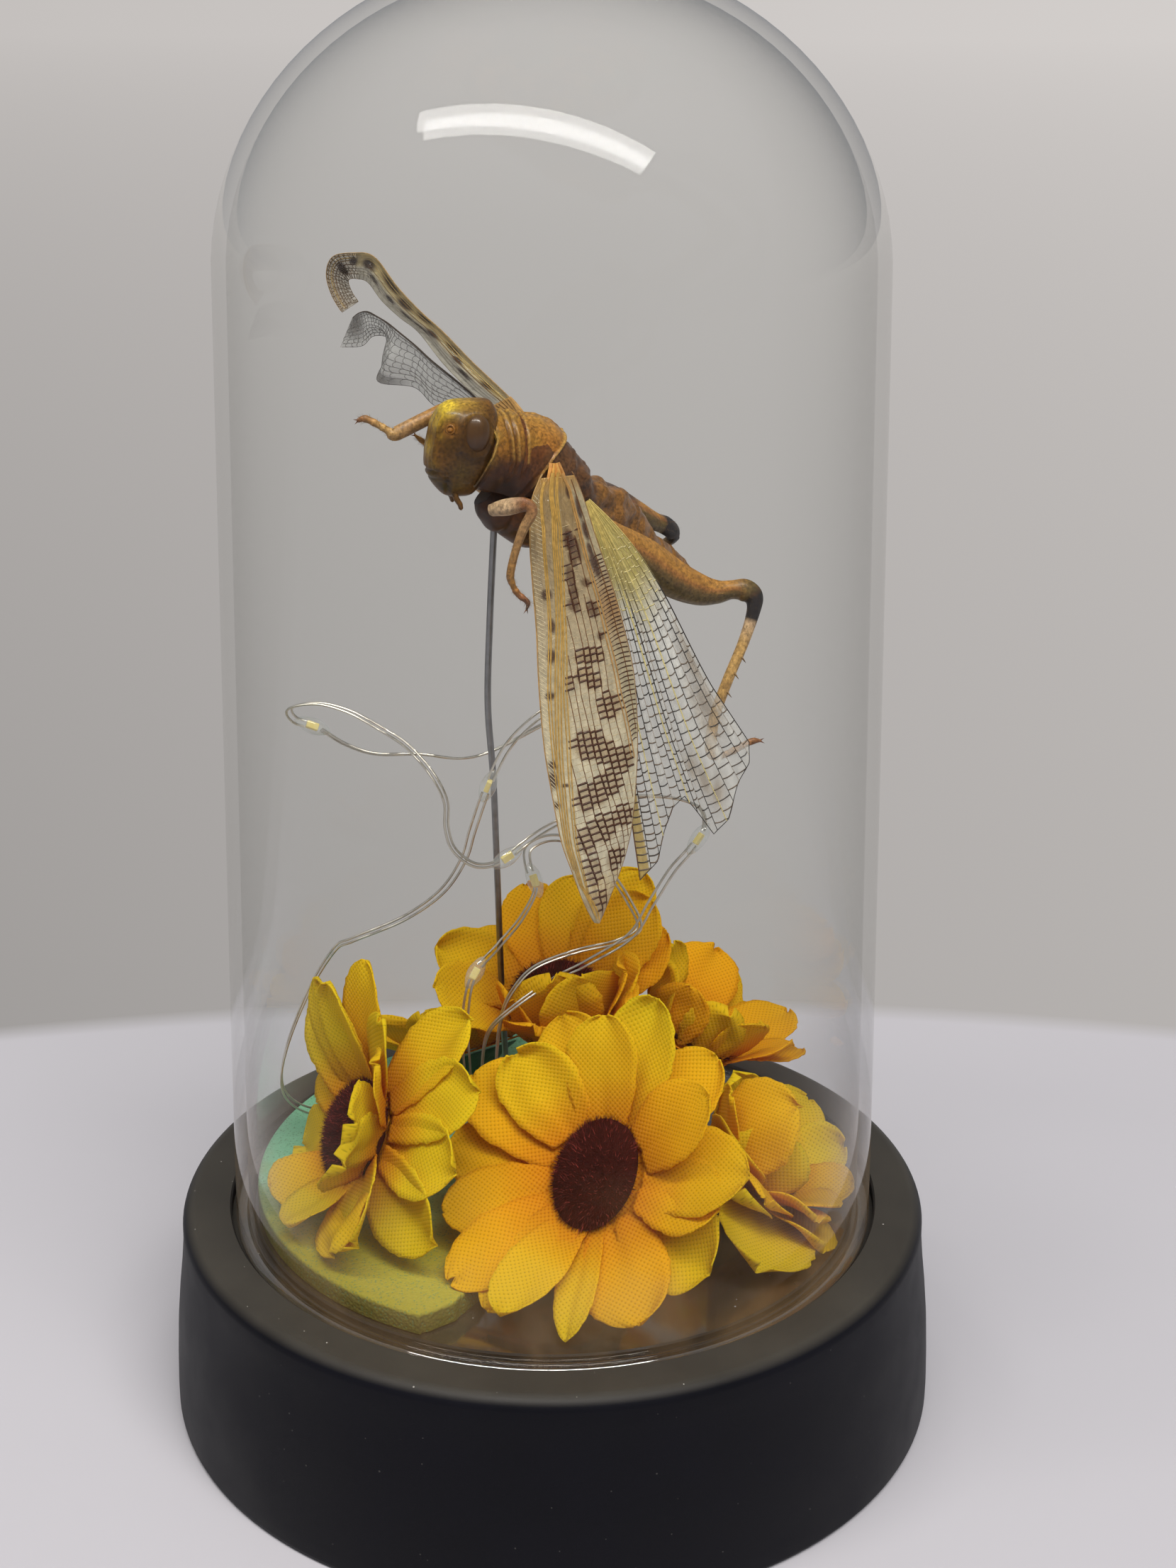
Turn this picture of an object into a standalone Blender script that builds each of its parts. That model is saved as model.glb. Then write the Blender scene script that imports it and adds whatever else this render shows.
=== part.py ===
"""A dried locust with spread wings in a clear dome, over cloth sunflowers and a string of lights.

Blender 4.5, metres, +Z up.  The origin is the middle of the base's underside
and the front of the display faces -Y.  Every size below is in millimetres;
each mesh is scaled to metres when its object is made.
"""
import math

import bmesh
import bpy
from mathutils import Matrix, Vector

MM = 0.001
GAP = 0.3                       # clearance left between neighbouring pieces

# ---- base and dome ----
BASE_HEIGHT = 30.3
BASE_RADIUS = 55.0              # widest, just above the table
LEDGE_RADIUS = 52.1             # outer edge of the flat ledge round the glass
GROOVE_INNER = 43.0
GROOVE_OUTER = 46.1
GROOVE_DEPTH = 2.0
COVER_RADIUS = 50.0
COVER_THICKNESS = 1.5
DOME_FOOT_RADIUS = 45.5
DOME_SPRING_RADIUS = 42.3       # the moulded wall leans in as it rises
DOME_SPRING_HEIGHT = 160.5
DOME_TOP = 198.7
DOME_WALL = 1.8
TURN_STEPS = 36                 # segments round the turned pieces
CAP_STEPS = 6

# ---- foam block that holds the stems and the stand ----
FOAM_RADIUS = 42.4
FOAM_HEIGHT = 3.0
FOAM_ARC = (86.0, 250.0)        # degrees round the glass that the block follows
FOAM_BREAK = [(-7.0, -22.0), (9.0, -17.0), (17.0, -3.0), (15.0, 17.0), (7.0, 29.0)]
FOAM_TOP = BASE_HEIGHT + GAP + FOAM_HEIGHT

# ---- stand ----
STAND_RADIUS = 0.45
STAND_ROUTE = [(-7.6, -2.6, 128.3), (-8.3, -1.5, 115.2), (-8.7, 0.0, 103.3), (-8.1, 1.6, 91.7),
               (-7.7, 4.6, 73.4), (-7.4, 7.8, 58.0), (-7.0, 9.4, 46.0), (-6.6, 9.8, FOAM_TOP + GAP)]

# ---- locust: x, y, z, half width, half height of each section, head end first ----
TRUNK = [(-10.4, -6.0, 140.4, 3.6, 4.4), (-7.9, -5.2, 139.2, 4.6, 5.5), (-3.4, -3.5, 137.8, 5.0, 5.9),
         (0.0, -1.4, 136.2, 4.9, 5.0), (2.4, 1.0, 133.0, 4.5, 4.1), (5.8, 5.0, 129.4, 4.2, 3.8),
         (9.0, 9.5, 124.9, 3.5, 3.4), (12.0, 13.0, 121.3, 3.0, 3.0), (14.9, 16.5, 118.9, 2.5, 2.6),
         (18.2, 20.0, 116.4, 1.4, 1.5)]
STERNUM = [(-8.6, -5.6, 133.6, 1.8, 2.0), (-6.2, -4.6, 131.6, 3.1, 3.4), (-2.5, -2.4, 129.8, 3.8, 4.2),
           (1.6, 0.4, 128.4, 3.6, 3.7), (5.0, 3.6, 126.9, 2.6, 2.6)]
# head sections from crown to mouth: x, y, z, half width, half length
HEAD = [(-10.4, -6.4, 145.4, 2.4, 2.6), (-10.8, -6.6, 144.0, 3.5, 4.0), (-11.1, -6.9, 142.0, 4.1, 4.9),
        (-11.4, -7.1, 139.6, 4.1, 5.0), (-11.9, -7.4, 137.4, 3.7, 4.2), (-12.5, -7.7, 135.7, 2.9, 3.0),
        (-12.9, -7.9, 134.7, 1.7, 1.8)]
HEAD_FORWARD = Vector((-0.95, -0.28, 0.0)).normalized()
EYE_CENTRES = [(-9.9, -10.3, 142.3), (-12.3, -3.5, 143.6)]
EYE_SIZE = (1.7, 1.3, 2.2)      # half sizes along, across and up the head

# ---- near wings: a plane through the hinge; span runs to the tip, chord to the rear ----
NEAR_HINGE = Vector((0.0, -7.5, 136.2))
NEAR_SPAN = Vector((0.097, -0.236, -0.967)).normalized()
NEAR_CHORD = Vector((0.948, 0.318, 0.017)).normalized()
NEAR_BACK = NEAR_CHORD.cross(NEAR_SPAN)
WING_THICKNESS = 0.4
# distance along the span, leading edge, trailing edge
NEAR_FOREWING = [(0.4, -0.7, 1.6), (3.0, -3.1, 3.3), (8.0, -3.8, 4.7), (13.5, -4.0, 6.0), (19.0, -4.1, 7.0),
                 (26.0, -4.5, 8.3), (34.0, -4.6, 8.0), (41.0, -4.1, 7.0), (46.0, -3.6, 6.0),
                 (50.0, -2.6, 4.6), (54.0, -1.5, 2.3), (57.2, -0.2, 0.5)]
NEAR_HIND_ROOT = (2.6, 4.3)
NEAR_HIND_MARGIN = [(52.8, 7.0), (50.6, 9.4), (47.0, 10.9), (43.8, 12.2), (42.7, 14.2), (45.0, 15.6),
                    (48.2, 17.8), (46.4, 19.8), (42.0, 21.8), (39.4, 23.4), (36.8, 23.9)]
NEAR_HIND_BULGE = 2.4           # how far the rear edge bows out near its root
NEAR_HIND_START = 0.08          # share of each ray where the membrane begins
NEAR_HIND_SETBACK = 1.1         # the hind wing lies behind the forewing

# ---- far wings: pairs of points, leading edge then trailing edge, root to tip ----
FAR_FOREWING = [((-4.4, 3.6, 142.9), (-6.4, 5.4, 141.4)), ((-7.3, 6.0, 145.2), (-10.4, 9.5, 143.3)),
                ((-10.6, 9.0, 147.7), (-14.5, 13.0, 146.6)), ((-14.4, 12.0, 151.0), (-17.9, 16.5, 150.1)),
                ((-17.6, 14.5, 153.4), (-20.6, 19.0, 151.7)), ((-20.6, 17.0, 156.1), (-23.1, 21.5, 153.5)),
                ((-23.8, 20.0, 159.6), (-25.0, 23.0, 155.7)), ((-26.8, 22.0, 159.8), (-26.5, 24.2, 156.0)),
                ((-29.6, 23.4, 159.1), (-27.5, 24.8, 155.9)), ((-30.6, 24.0, 156.8), (-27.7, 25.2, 155.3)),
                ((-30.0, 24.0, 154.0), (-27.2, 25.2, 154.0)), ((-28.6, 23.6, 151.6), (-26.4, 24.8, 152.9))]
FAR_HINDWING = [((-6.6, 6.4, 140.0), (-7.4, 7.2, 139.0)), ((-11.2, 11.2, 143.4), (-12.3, 13.8, 140.3)),
                ((-16.1, 16.0, 146.4), (-16.1, 19.0, 139.8)), ((-18.4, 18.4, 148.0), (-19.0, 21.5, 141.8)),
                ((-20.9, 20.6, 149.6), (-24.2, 24.0, 142.2)), ((-22.4, 22.0, 150.5), (-22.5, 24.0, 146.0)),
                ((-23.9, 23.0, 151.2), (-22.6, 24.2, 148.0)), ((-25.2, 23.8, 151.7), (-24.6, 24.6, 148.2)),
                ((-26.4, 24.4, 151.4), (-26.2, 25.2, 146.8)), ((-27.4, 24.8, 150.6), (-29.2, 25.4, 146.6))]

# ---- legs: x, y, z, radius from the body outwards ----
LEGS = {
    "near_foreleg": [(-7.6, -10.2, 132.6, 0.8), (-5.7, -11.8, 133.4, 1.0), (-3.4, -13.0, 134.0, 0.8),
                     (-2.6, -13.6, 133.2, 0.7), (-3.6, -13.8, 131.2, 0.7), (-4.6, -13.6, 128.4, 0.6),
                     (-5.3, -13.2, 125.3, 0.6), (-5.1, -13.1, 123.9, 0.5), (-4.4, -13.2, 122.6, 0.5),
                     (-3.2, -13.5, 121.6, 0.4), (-3.3, -13.6, 120.6, 0.2)],
    "far_foreleg": [(-6.2, 1.9, 137.0, 0.9), (-8.6, 1.9, 140.0, 1.0), (-11.2, 0.0, 142.4, 0.9),
                    (-13.2, -0.9, 143.4, 0.9), (-16.1, -1.8, 142.4, 0.9), (-18.9, -2.4, 141.1, 0.8),
                    (-20.2, -2.6, 140.6, 0.8), (-21.0, -2.7, 141.1, 0.7), (-22.1, -2.8, 141.8, 0.6),
                    (-23.7, -2.9, 142.6, 0.6), (-24.7, -3.0, 142.4, 0.4)],
    "near_midleg": [(0.0, -4.8, 125.4, 0.9), (2.4, -4.6, 122.6, 1.0), (5.0, -4.6, 118.6, 0.9),
                    (5.4, -4.7, 117.2, 0.8), (5.0, -5.0, 114.8, 0.6), (3.0, -5.4, 108.8, 0.6),
                    (2.3, -5.8, 106.8, 0.5), (2.7, -6.4, 104.4, 0.3)],
    "far_midleg": [(-3.8, 3.2, 129.0, 1.0), (-8.2, 4.0, 131.6, 1.0), (-12.4, 3.6, 134.6, 0.9),
                   (-13.8, 2.8, 136.2, 0.7), (-15.6, 1.4, 138.0, 0.6), (-16.9, 0.2, 139.2, 0.4),
                   (-17.7, -0.3, 140.0, 0.2)],
    "near_hindleg": [(5.2, -3.4, 129.4, 1.3), (7.8, -1.4, 126.8, 1.9), (11.7, 1.0, 123.6, 2.6),
                     (15.9, 2.6, 120.2, 2.7), (19.4, 3.8, 118.3, 2.5), (21.9, 4.4, 117.8, 2.0),
                     (23.9, 4.8, 118.0, 1.5), (25.6, 5.0, 117.9, 1.5), (26.8, 4.9, 117.0, 1.4),
                     (26.9, 4.4, 115.3, 0.9), (25.6, 3.2, 111.3, 0.75), (23.3, 1.3, 106.1, 0.75),
                     (21.7, 0.1, 101.6, 0.7), (21.2, -0.8, 97.6, 0.7), (21.8, -1.0, 96.4, 0.6),
                     (23.6, -0.8, 96.8, 0.5), (26.6, -0.2, 98.2, 0.5), (28.0, 0.0, 98.3, 0.3)],
    "far_hindleg": [(5.2, 11.4, 130.6, 1.2), (8.6, 14.4, 127.8, 1.8), (12.0, 17.2, 125.2, 1.6),
                    (14.4, 19.2, 123.6, 1.2), (16.0, 20.4, 122.6, 1.3), (16.9, 21.4, 121.3, 1.0),
                    (15.4, 21.8, 119.8, 0.7), (11.4, 20.4, 120.0, 0.7), (6.6, 17.4, 122.0, 0.6),
                    (4.6, 16.2, 122.6, 0.4)],
}

# ---- sunflowers ----
HUB_RADIUS = 7.9
CENTRE_RADIUS = 7.3
CENTRE_HEIGHT = 3.2
CENTRE_OVALS = {"front": (0.80, 1.06, -20.0)}    # width and height shares, and lean in degrees
PETAL_THICKNESS = 0.5
PETAL_WIDTHS = (0.46, 0.94, 0.98, 0.38)     # share of the full width at each row
PETAL_ROOM = 0.46                                # share of the angle to the next petal that one may fill
STEM_RADIUS = 1.5
STEM_FOOT = FOAM_TOP + 0.8
# each petal: angle round the hub, length, width, lift at the hub, extra curl to the tip
FRONT_PETALS = [(99, 15.5, 8.4, 12, -10), (62, 17.0, 8.0, 17, -6), (38, 14.5, 8.4, 8, -14),
                (-6, 14.0, 10.0, 12, -14), (-42, 12.5, 10.4, -6, -6), (-77, 11.8, 9.0, 8, -2),
                (-101, 13.6, 5.2, 22, -4), (-121, 15.0, 6.0, 37, -8), (-145, 15.5, 7.4, 25, -10),
                (-171, 14.0, 8.0, 16, -8), (164, 14.5, 8.4, 8, -8), (138, 15.5, 8.8, 14, -4)]
LEFT_PETALS = [(90, 15.5, 7.0, 36, -8), (62, 16.5, 7.0, 40, -30), (27, 16.0, 8.8, -2, -12),
               (0, 15.5, 8.8, -4, -10), (-29, 14.0, 8.8, -2, -12), (-58, 15.0, 9.0, -10, -10),
               (-86, 12.2, 8.8, 30, -14), (-118, 9.5, 7.4, 46, -8), (-150, 8.5, 7.4, 46, -8),
               (164, 13.0, 7.6, -10, -8), (126, 12.5, 7.6, -4, -8)]
RIGHT_PETALS = [(96, 11.0, 7.8, -18, -8), (58, 10.5, 7.6, 18, -8), (20, 8.5, 7.4, 40, -8),
                (-14, 8.5, 7.4, 52, -8), (-46, 9.0, 8.0, 66, -24), (-78, 12.0, 9.0, 66, -44),
                (-110, 13.0, 9.4, 66, -50), (-142, 12.0, 9.0, 70, -40), (-174, 10.0, 8.0, 74, -20),
                (134, 7.0, 7.4, 64, -8)]
CENTRE_PETALS = [(104, 12.5, 7.8, 18, -8), (80, 12.5, 7.8, 22, -8), (57, 16.0, 7.6, 32, -8),
                 (28, 11.5, 8.0, 32, -8), (-6, 9.5, 8.6, 78, -30), (-40, 10.5, 9.0, 84, -40),
                 (-70, 8.0, 7.8, 74, -8), (-104, 9.0, 9.0, 82, -24), (-140, 7.5, 8.2, 86, -10),
                 (-174, 12.5, 8.2, 39, -8), (134, 12.5, 8.2, -8, -8)]
REAR_RIGHT_PETALS = [(104, 13.5, 7.8, 26, -8), (78, 14.5, 7.6, 28, -8), (52, 12.5, 7.6, 20, -8),
                     (22, 11.5, 7.6, 22, -8), (-12, 9.0, 7.4, 50, -8), (-46, 8.0, 7.2, 72, -8),
                     (-84, 8.0, 7.2, 74, -8), (-124, 8.0, 7.2, 74, -8), (-164, 8.5, 7.4, 74, -8),
                     (140, 9.0, 7.6, 68, -8)]
REAR_PETALS = [(36 * k, 11.0, 7.4, 40 + 5 * (-1) ** k, -8) for k in range(10)]

# centre of the hub's face, the way it faces, petals, points that the stem passes on its way down
FLOWERS = {
    "front": ((6.1, -24.0, 45.3), (-0.40, -0.62, 0.68), FRONT_PETALS,
              [(9.0, -19.0, 40.2), (7.2, -14.6, 38.2), (4.8, -11.6, 36.6), (4.4, -11.0, STEM_FOOT)]),
    "left": ((-26.1, -12.0, 45.3), (-0.78, -0.40, 0.48), LEFT_PETALS,
             [(-21.8, -9.8, 42.0), (-18.4, -7.6, 39.0), (-17.2, -7.0, 36.6), (-17.0, -7.0, STEM_FOOT)]),
    "right": ((27.6, -6.0, 37.0), (0.60, -0.26, 0.76), RIGHT_PETALS,
              [(25.0, -4.4, 33.4), (22.4, -3.0, 32.4), (18.4, -1.0, 32.4)]),
    "centre": ((0.8, 6.0, 55.4), (0.0, -0.52, 0.85), CENTRE_PETALS,
               [(0.8, 8.8, 50.0), (0.8, 9.6, 44.0), (0.8, 9.8, STEM_FOOT)]),
    "rear_right": ((19.6, 11.5, 48.0), (0.50, 0.10, 0.86), REAR_RIGHT_PETALS,
                   [(17.2, 11.0, 43.0), (13.6, 10.2, 39.4), (12.2, 9.8, 36.8), (12.0, 9.6, STEM_FOOT)]),
    "rear": ((-11.6, 21.6, 41.0), (-0.30, 0.42, 0.86), REAR_PETALS,
             [(-10.8, 20.6, 37.4), (-10.6, 20.2, 36.0), (-10.6, 20.2, STEM_FOOT)]),
}

# ---- string of lights: points along each wire, and where its drops hang ----
WIRE_RADIUS = 0.35
BEAD_RADIUS = 1.7
BEAD_HALF_LENGTH = 2.6
WIRE_STEP = 4.4                 # distance between points along a wire
FINE_STEP = 0.25                # distance between points when a place on the wire is looked for
OUTER_STRAND = [(-32.0, 14.0, FOAM_TOP + 0.8), (-36.6, 9.0, 37.6), (-39.2, 5.4, 43.0), (-38.2, 4.6, 50.0),
                (-34.6, 3.6, 59.4), (-30.5, 1.4, 66.9),
                (-27.8, 0.0, 69.0), (-20.7, 0.0, 72.2), (-15.4, 0.0, 76.2), (-12.3, 0.0, 81.0),
                (-10.9, -1.4, 86.0), (-8.7, -3.2, 93.0), (-5.9, -3.8, 99.0), (-1.5, -3.6, 103.4),
                (1.9, -1.0, 103.9), (1.0, 2.0, 101.1), (-1.8, 2.8, 99.4), (-7.8, 3.2, 95.9),
                (-12.4, 2.4, 94.9), (-18.2, 2.2, 95.6), (-24.1, 2.6, 95.5), (-28.2, 2.6, 96.9),
                (-31.8, 2.4, 99.3), (-34.8, 2.0, 100.6), (-35.2, 1.0, 102.6), (-31.4, 0.0, 103.6),
                (-27.2, -1.0, 102.8), (-23.5, -1.4, 100.8), (-20.0, -2.0, 98.7), (-17.4, -3.0, 96.3),
                (-15.4, -4.0, 93.7), (-14.3, -4.2, 90.8), (-14.3, -4.4, 87.5), (-13.3, -4.4, 84.2),
                (-10.4, -4.2, 81.9), (-7.0, -3.4, 82.2), (-3.4, -1.8, 84.5), (0.2, 1.0, 85.8),
                (6.8, 3.0, 88.4), (14.5, 1.4, 89.7), (19.6, -1.6, 89.4), (20.4, -3.4, 87.0),
                (18.4, -4.2, 84.0), (16.1, -4.0, 81.0), (13.4, -3.6, 76.0), (10.6, -3.4, 71.0),
                (4.7, -3.4, 67.0), (0.1, -3.4, 64.4), (-5.2, -4.6, 61.0), (-9.0, -4.8, 57.0),
                (-10.0, -4.0, 50.0), (-9.8, -1.6, 42.0), (-9.6, -1.0, FOAM_TOP + GAP)]
OUTER_DROPS = [(-8.7, -3.2, 93.0), (-32.5, 2.3, 99.6), (-6.4, -3.0, 82.8), (19.6, -3.8, 85.5)]
INNER_STRAND = [(-7.4, -2.4, FOAM_TOP + GAP), (-7.8, -3.0, 43.0), (-8.0, -3.8, 51.0), (-7.2, -3.2, 58.6),
                (-5.4, -2.4, 62.6), (-2.3, -1.6, 65.6), (3.5, -0.8, 67.6), (8.9, 0.0, 68.6),
                (12.0, 1.4, 70.0), (10.8, 3.0, 73.0), (7.9, 4.6, 77.0), (3.9, 4.8, 81.0),
                (0.0, 4.0, 82.6), (-3.3, 2.4, 81.8), (-3.4, 1.2, 79.4), (-2.4, 0.2, 76.6),
                (-4.4, -1.0, 72.6), (-7.5, -2.0, 69.0), (-11.0, -3.4, 65.0), (-12.2, -4.6, 59.0),
                (-12.0, -4.4, 51.0), (-11.8, -1.0, 43.0), (-11.8, 0.6, FOAM_TOP + GAP)]
INNER_DROPS = [(-2.5, 0.2, 77.7), (-10.9, -3.2, 65.4)]
STRANDS = {"outer": (OUTER_STRAND, OUTER_DROPS), "inner": (INNER_STRAND, INNER_DROPS)}

# colour, roughness, metallic, transmission
FINISHES = {
    "black_plastic": ((0.012, 0.012, 0.016), 0.5, 0.0, 0.0),
    "clear_dome": ((1.0, 1.0, 1.0), 0.03, 0.0, 1.0),
    "mint_foam": ((0.36, 0.68, 0.50), 0.95, 0.0, 0.0),
    "stand_steel": ((0.32, 0.33, 0.34), 0.35, 1.0, 0.0),
    "shell_ochre": ((0.34, 0.19, 0.03), 0.4, 0.0, 0.0),
    "wing_membrane": ((0.62, 0.50, 0.25), 0.4, 0.0, 0.0),
    "hind_membrane": ((0.55, 0.53, 0.42), 0.3, 0.0, 0.4),
    "leg_brown": ((0.42, 0.20, 0.09), 0.45, 0.0, 0.0),
    "petal_cloth": ((0.85, 0.52, 0.05), 0.8, 0.0, 0.0),
    "flock_burgundy": ((0.05, 0.008, 0.012), 0.95, 0.0, 0.0),
    "stem_green": ((0.03, 0.12, 0.03), 0.6, 0.0, 0.0),
    "silver_wire": ((0.62, 0.61, 0.58), 0.3, 1.0, 0.0),
    "resin_drop": ((0.9, 0.88, 0.75), 0.08, 0.0, 0.8),
}


# ---------------------------------------------------------------- making objects

def clear_scene():
    for item in list(bpy.data.objects):
        bpy.data.objects.remove(item, do_unlink=True)


def finish_material(name):
    """The named finish as a Principled material, made once."""
    material = bpy.data.materials.get(name)
    if material is None:
        colour, roughness, metallic, transmission = FINISHES[name]
        material = bpy.data.materials.new(name)
        material.use_nodes = True
        shader = material.node_tree.nodes["Principled BSDF"]
        shader.inputs["Base Color"].default_value = (*colour, 1.0)
        shader.inputs["Roughness"].default_value = roughness
        shader.inputs["Metallic"].default_value = metallic
        shader.inputs["Transmission Weight"].default_value = transmission
        material.diffuse_color = (*colour, 1.0)
    return material


def add_piece(name, shape, finish, smooth_angle=40.0):
    """Turn a shape in millimetres into an object in metres."""
    bmesh.ops.scale(shape, vec=(MM, MM, MM), verts=shape.verts)
    bmesh.ops.recalc_face_normals(shape, faces=shape.faces)
    mesh = bpy.data.meshes.new(name)
    shape.to_mesh(mesh)
    shape.free()
    mesh.shade_smooth()
    mesh.set_sharp_from_angle(angle=math.radians(smooth_angle))
    mesh.materials.append(finish_material(finish))
    piece = bpy.data.objects.new(name, mesh)
    bpy.context.scene.collection.objects.link(piece)
    return piece


def join_solids(piece, *others):
    """Fuse other solids into a piece, as flesh that grew together."""
    for other in others:
        other.hide_render = True
        other.display_type = "WIRE"
        union = piece.modifiers.new(other.name, "BOOLEAN")
        union.operation = "UNION"
        union.object = other


def thicken(piece, thickness):
    wall = piece.modifiers.new("thickness", "SOLIDIFY")
    wall.thickness = thickness * MM
    wall.offset = 0.0


# ---------------------------------------------------------------- shapes

def turned(profile, steps=TURN_STEPS):
    """Revolve a profile of (radius, height) that starts and ends on the axis."""
    shape = bmesh.new()
    rings = []
    for radius, height in profile:
        if radius < 1e-6:
            rings.append([shape.verts.new((0.0, 0.0, height))] * steps)
            continue
        angles = [2 * math.pi * k / steps for k in range(steps)]
        rings.append([shape.verts.new((radius * math.cos(a), radius * math.sin(a), height)) for a in angles])
    for lower, upper in zip(rings, rings[1:]):
        for k in range(steps):
            nxt = (k + 1) % steps
            corners = dict.fromkeys((lower[k], lower[nxt], upper[nxt], upper[k]))
            shape.faces.new(list(corners))
    return shape


def loft(rings, start=None, end=None):
    """Skin rings of points; start and end close the two ends with a point or, if None, a face."""
    shape = bmesh.new()
    loops = [[shape.verts.new(point) for point in ring] for ring in rings]
    count = len(loops[0])
    for first, second in zip(loops, loops[1:]):
        for k in range(count):
            nxt = (k + 1) % count
            shape.faces.new((first[k], first[nxt], second[nxt], second[k]))
    for loop, tip in ((loops[0], start), (loops[-1], end)):
        if tip is None:
            shape.faces.new(loop)
            continue
        point = shape.verts.new(tip)
        for k in range(count):
            shape.faces.new((loop[k], loop[(k + 1) % count], point))
    return shape


def tangents(points):
    """Directions along a row of points, each one averaged over its two neighbours."""
    result = []
    for i in range(len(points)):
        before = points[max(i - 1, 0)]
        after = points[min(i + 1, len(points) - 1)]
        result.append((after - before).normalized())
    return result


def oval(centre, along, upright, half_width, half_height, count):
    """A ring of points square to a direction, with its height towards `upright`."""
    side = along.cross(upright).normalized()
    top = side.cross(along).normalized()
    ring = []
    for k in range(count):
        a = 2 * math.pi * k / count
        ring.append(centre + side * half_width * math.cos(a) + top * half_height * math.sin(a))
    return ring


def body_loft(sections, upright, count=14):
    """A rounded body through sections of (x, y, z, half width, half height)."""
    centres = [Vector(section[:3]) for section in sections]
    directions = tangents(centres)
    rings = [oval(c, d, upright, s[3], s[4], count) for c, d, s in zip(centres, directions, sections)]
    start = centres[0] - directions[0] * 0.45 * sections[0][4]
    end = centres[-1] + directions[-1] * 0.45 * sections[-1][4]
    return loft(rings, start, end)


def limb_loft(stations, upright, count=6):
    """A jointed limb through stations of (x, y, z, radius)."""
    return body_loft([(x, y, z, r, r) for x, y, z, r in stations], upright, count)


def stem_loft(stations, upright, count=8):
    """A stem with flat ends through stations of (x, y, z, radius)."""
    centres = [Vector(station[:3]) for station in stations]
    radii = [station[3] for station in stations]
    rings = [oval(c, d, upright, r, r, count) for c, d, r in zip(centres, tangents(centres), radii)]
    return loft(rings)


def smooth_route(points, step):
    """Points every `step` along a Catmull-Rom curve through the given points."""
    points = [Vector(p) for p in points]
    padded = [2 * points[0] - points[1], *points, 2 * points[-1] - points[-2]]
    fine = []
    for a, b, c, d in zip(padded, padded[1:], padded[2:], padded[3:]):
        for k in range(12):
            t = k / 12
            fine.append(0.5 * (2 * b + (c - a) * t + (2 * a - 5 * b + 4 * c - d) * t * t
                               + (3 * b - a - 3 * c + d) * t ** 3))
    fine.append(points[-1])
    lengths = [0.0]
    for a, b in zip(fine, fine[1:]):
        lengths.append(lengths[-1] + (b - a).length)
    count = max(2, round(lengths[-1] / step))
    route, i = [], 0
    for k in range(count + 1):
        target = lengths[-1] * k / count
        while i < len(fine) - 2 and lengths[i + 1] < target:
            i += 1
        span = max(lengths[i + 1] - lengths[i], 1e-9)
        route.append(fine[i].lerp(fine[i + 1], min(1.0, (target - lengths[i]) / span)))
    return route


def add_wire(name, route, radius, finish, sides=1):
    """A round wire along a route, as a bevelled curve with filled ends."""
    curve = bpy.data.curves.new(name, "CURVE")
    curve.dimensions = "3D"
    curve.bevel_depth = radius * MM
    curve.bevel_resolution = sides
    curve.use_fill_caps = True
    spline = curve.splines.new("POLY")
    spline.points.add(len(route) - 1)
    for point, place in zip(spline.points, route):
        point.co = (*(Vector(place) * MM), 1.0)
    curve.materials.append(finish_material(finish))
    wire = bpy.data.objects.new(name, curve)
    bpy.context.scene.collection.objects.link(wire)
    return wire


def sheet(rows):
    """A thin open skin over rows of points; thicken() makes it a solid."""
    shape = bmesh.new()
    grid = [[shape.verts.new(point) for point in row] for row in rows]
    for first, second in zip(grid, grid[1:]):
        for k in range(len(first) - 1):
            shape.faces.new((first[k], first[k + 1], second[k + 1], second[k]))
    return shape


# ---------------------------------------------------------------- case

def base_profile():
    """Half section of the base: recess below, convex side, rounded rim, groove for the glass."""
    recess = COVER_THICKNESS + GAP
    groove_floor = BASE_HEIGHT - GROOVE_DEPTH
    return [(0.0, recess), (COVER_RADIUS + GAP, recess), (COVER_RADIUS + GAP, 0.0),
            (BASE_RADIUS - 0.8, 0.0), (BASE_RADIUS - 0.1, 0.8), (BASE_RADIUS, 3.0),
            (BASE_RADIUS - 0.5, 12.0), (BASE_RADIUS - 1.5, 21.0), (LEDGE_RADIUS + 0.8, BASE_HEIGHT - 3.0),
            (LEDGE_RADIUS + 0.4, BASE_HEIGHT - 1.2), (LEDGE_RADIUS - 0.3, BASE_HEIGHT - 0.3),
            (LEDGE_RADIUS - 1.4, BASE_HEIGHT), (GROOVE_OUTER, BASE_HEIGHT), (GROOVE_OUTER, groove_floor),
            (GROOVE_INNER, groove_floor), (GROOVE_INNER, BASE_HEIGHT), (0.0, BASE_HEIGHT)]


def dome_profile():
    """Outer wall from crown to foot, then the inner wall back up to the crown."""
    foot = BASE_HEIGHT - GROOVE_DEPTH + GAP
    outer, inner = [], []
    for k in range(CAP_STEPS + 1):
        a = math.pi / 2 * (1 - k / CAP_STEPS)
        rise = DOME_TOP - DOME_SPRING_HEIGHT
        outer.append((DOME_SPRING_RADIUS * math.cos(a), DOME_SPRING_HEIGHT + rise * math.sin(a)))
        inner.append(((DOME_SPRING_RADIUS - DOME_WALL) * math.cos(a),
                      DOME_SPRING_HEIGHT + (rise - DOME_WALL) * math.sin(a)))
    outer[0], inner[0] = (0.0, outer[0][1]), (0.0, inner[0][1])
    outer.append((DOME_FOOT_RADIUS, foot))
    inner.append((DOME_FOOT_RADIUS - DOME_WALL, foot))
    return outer + inner[::-1]


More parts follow.
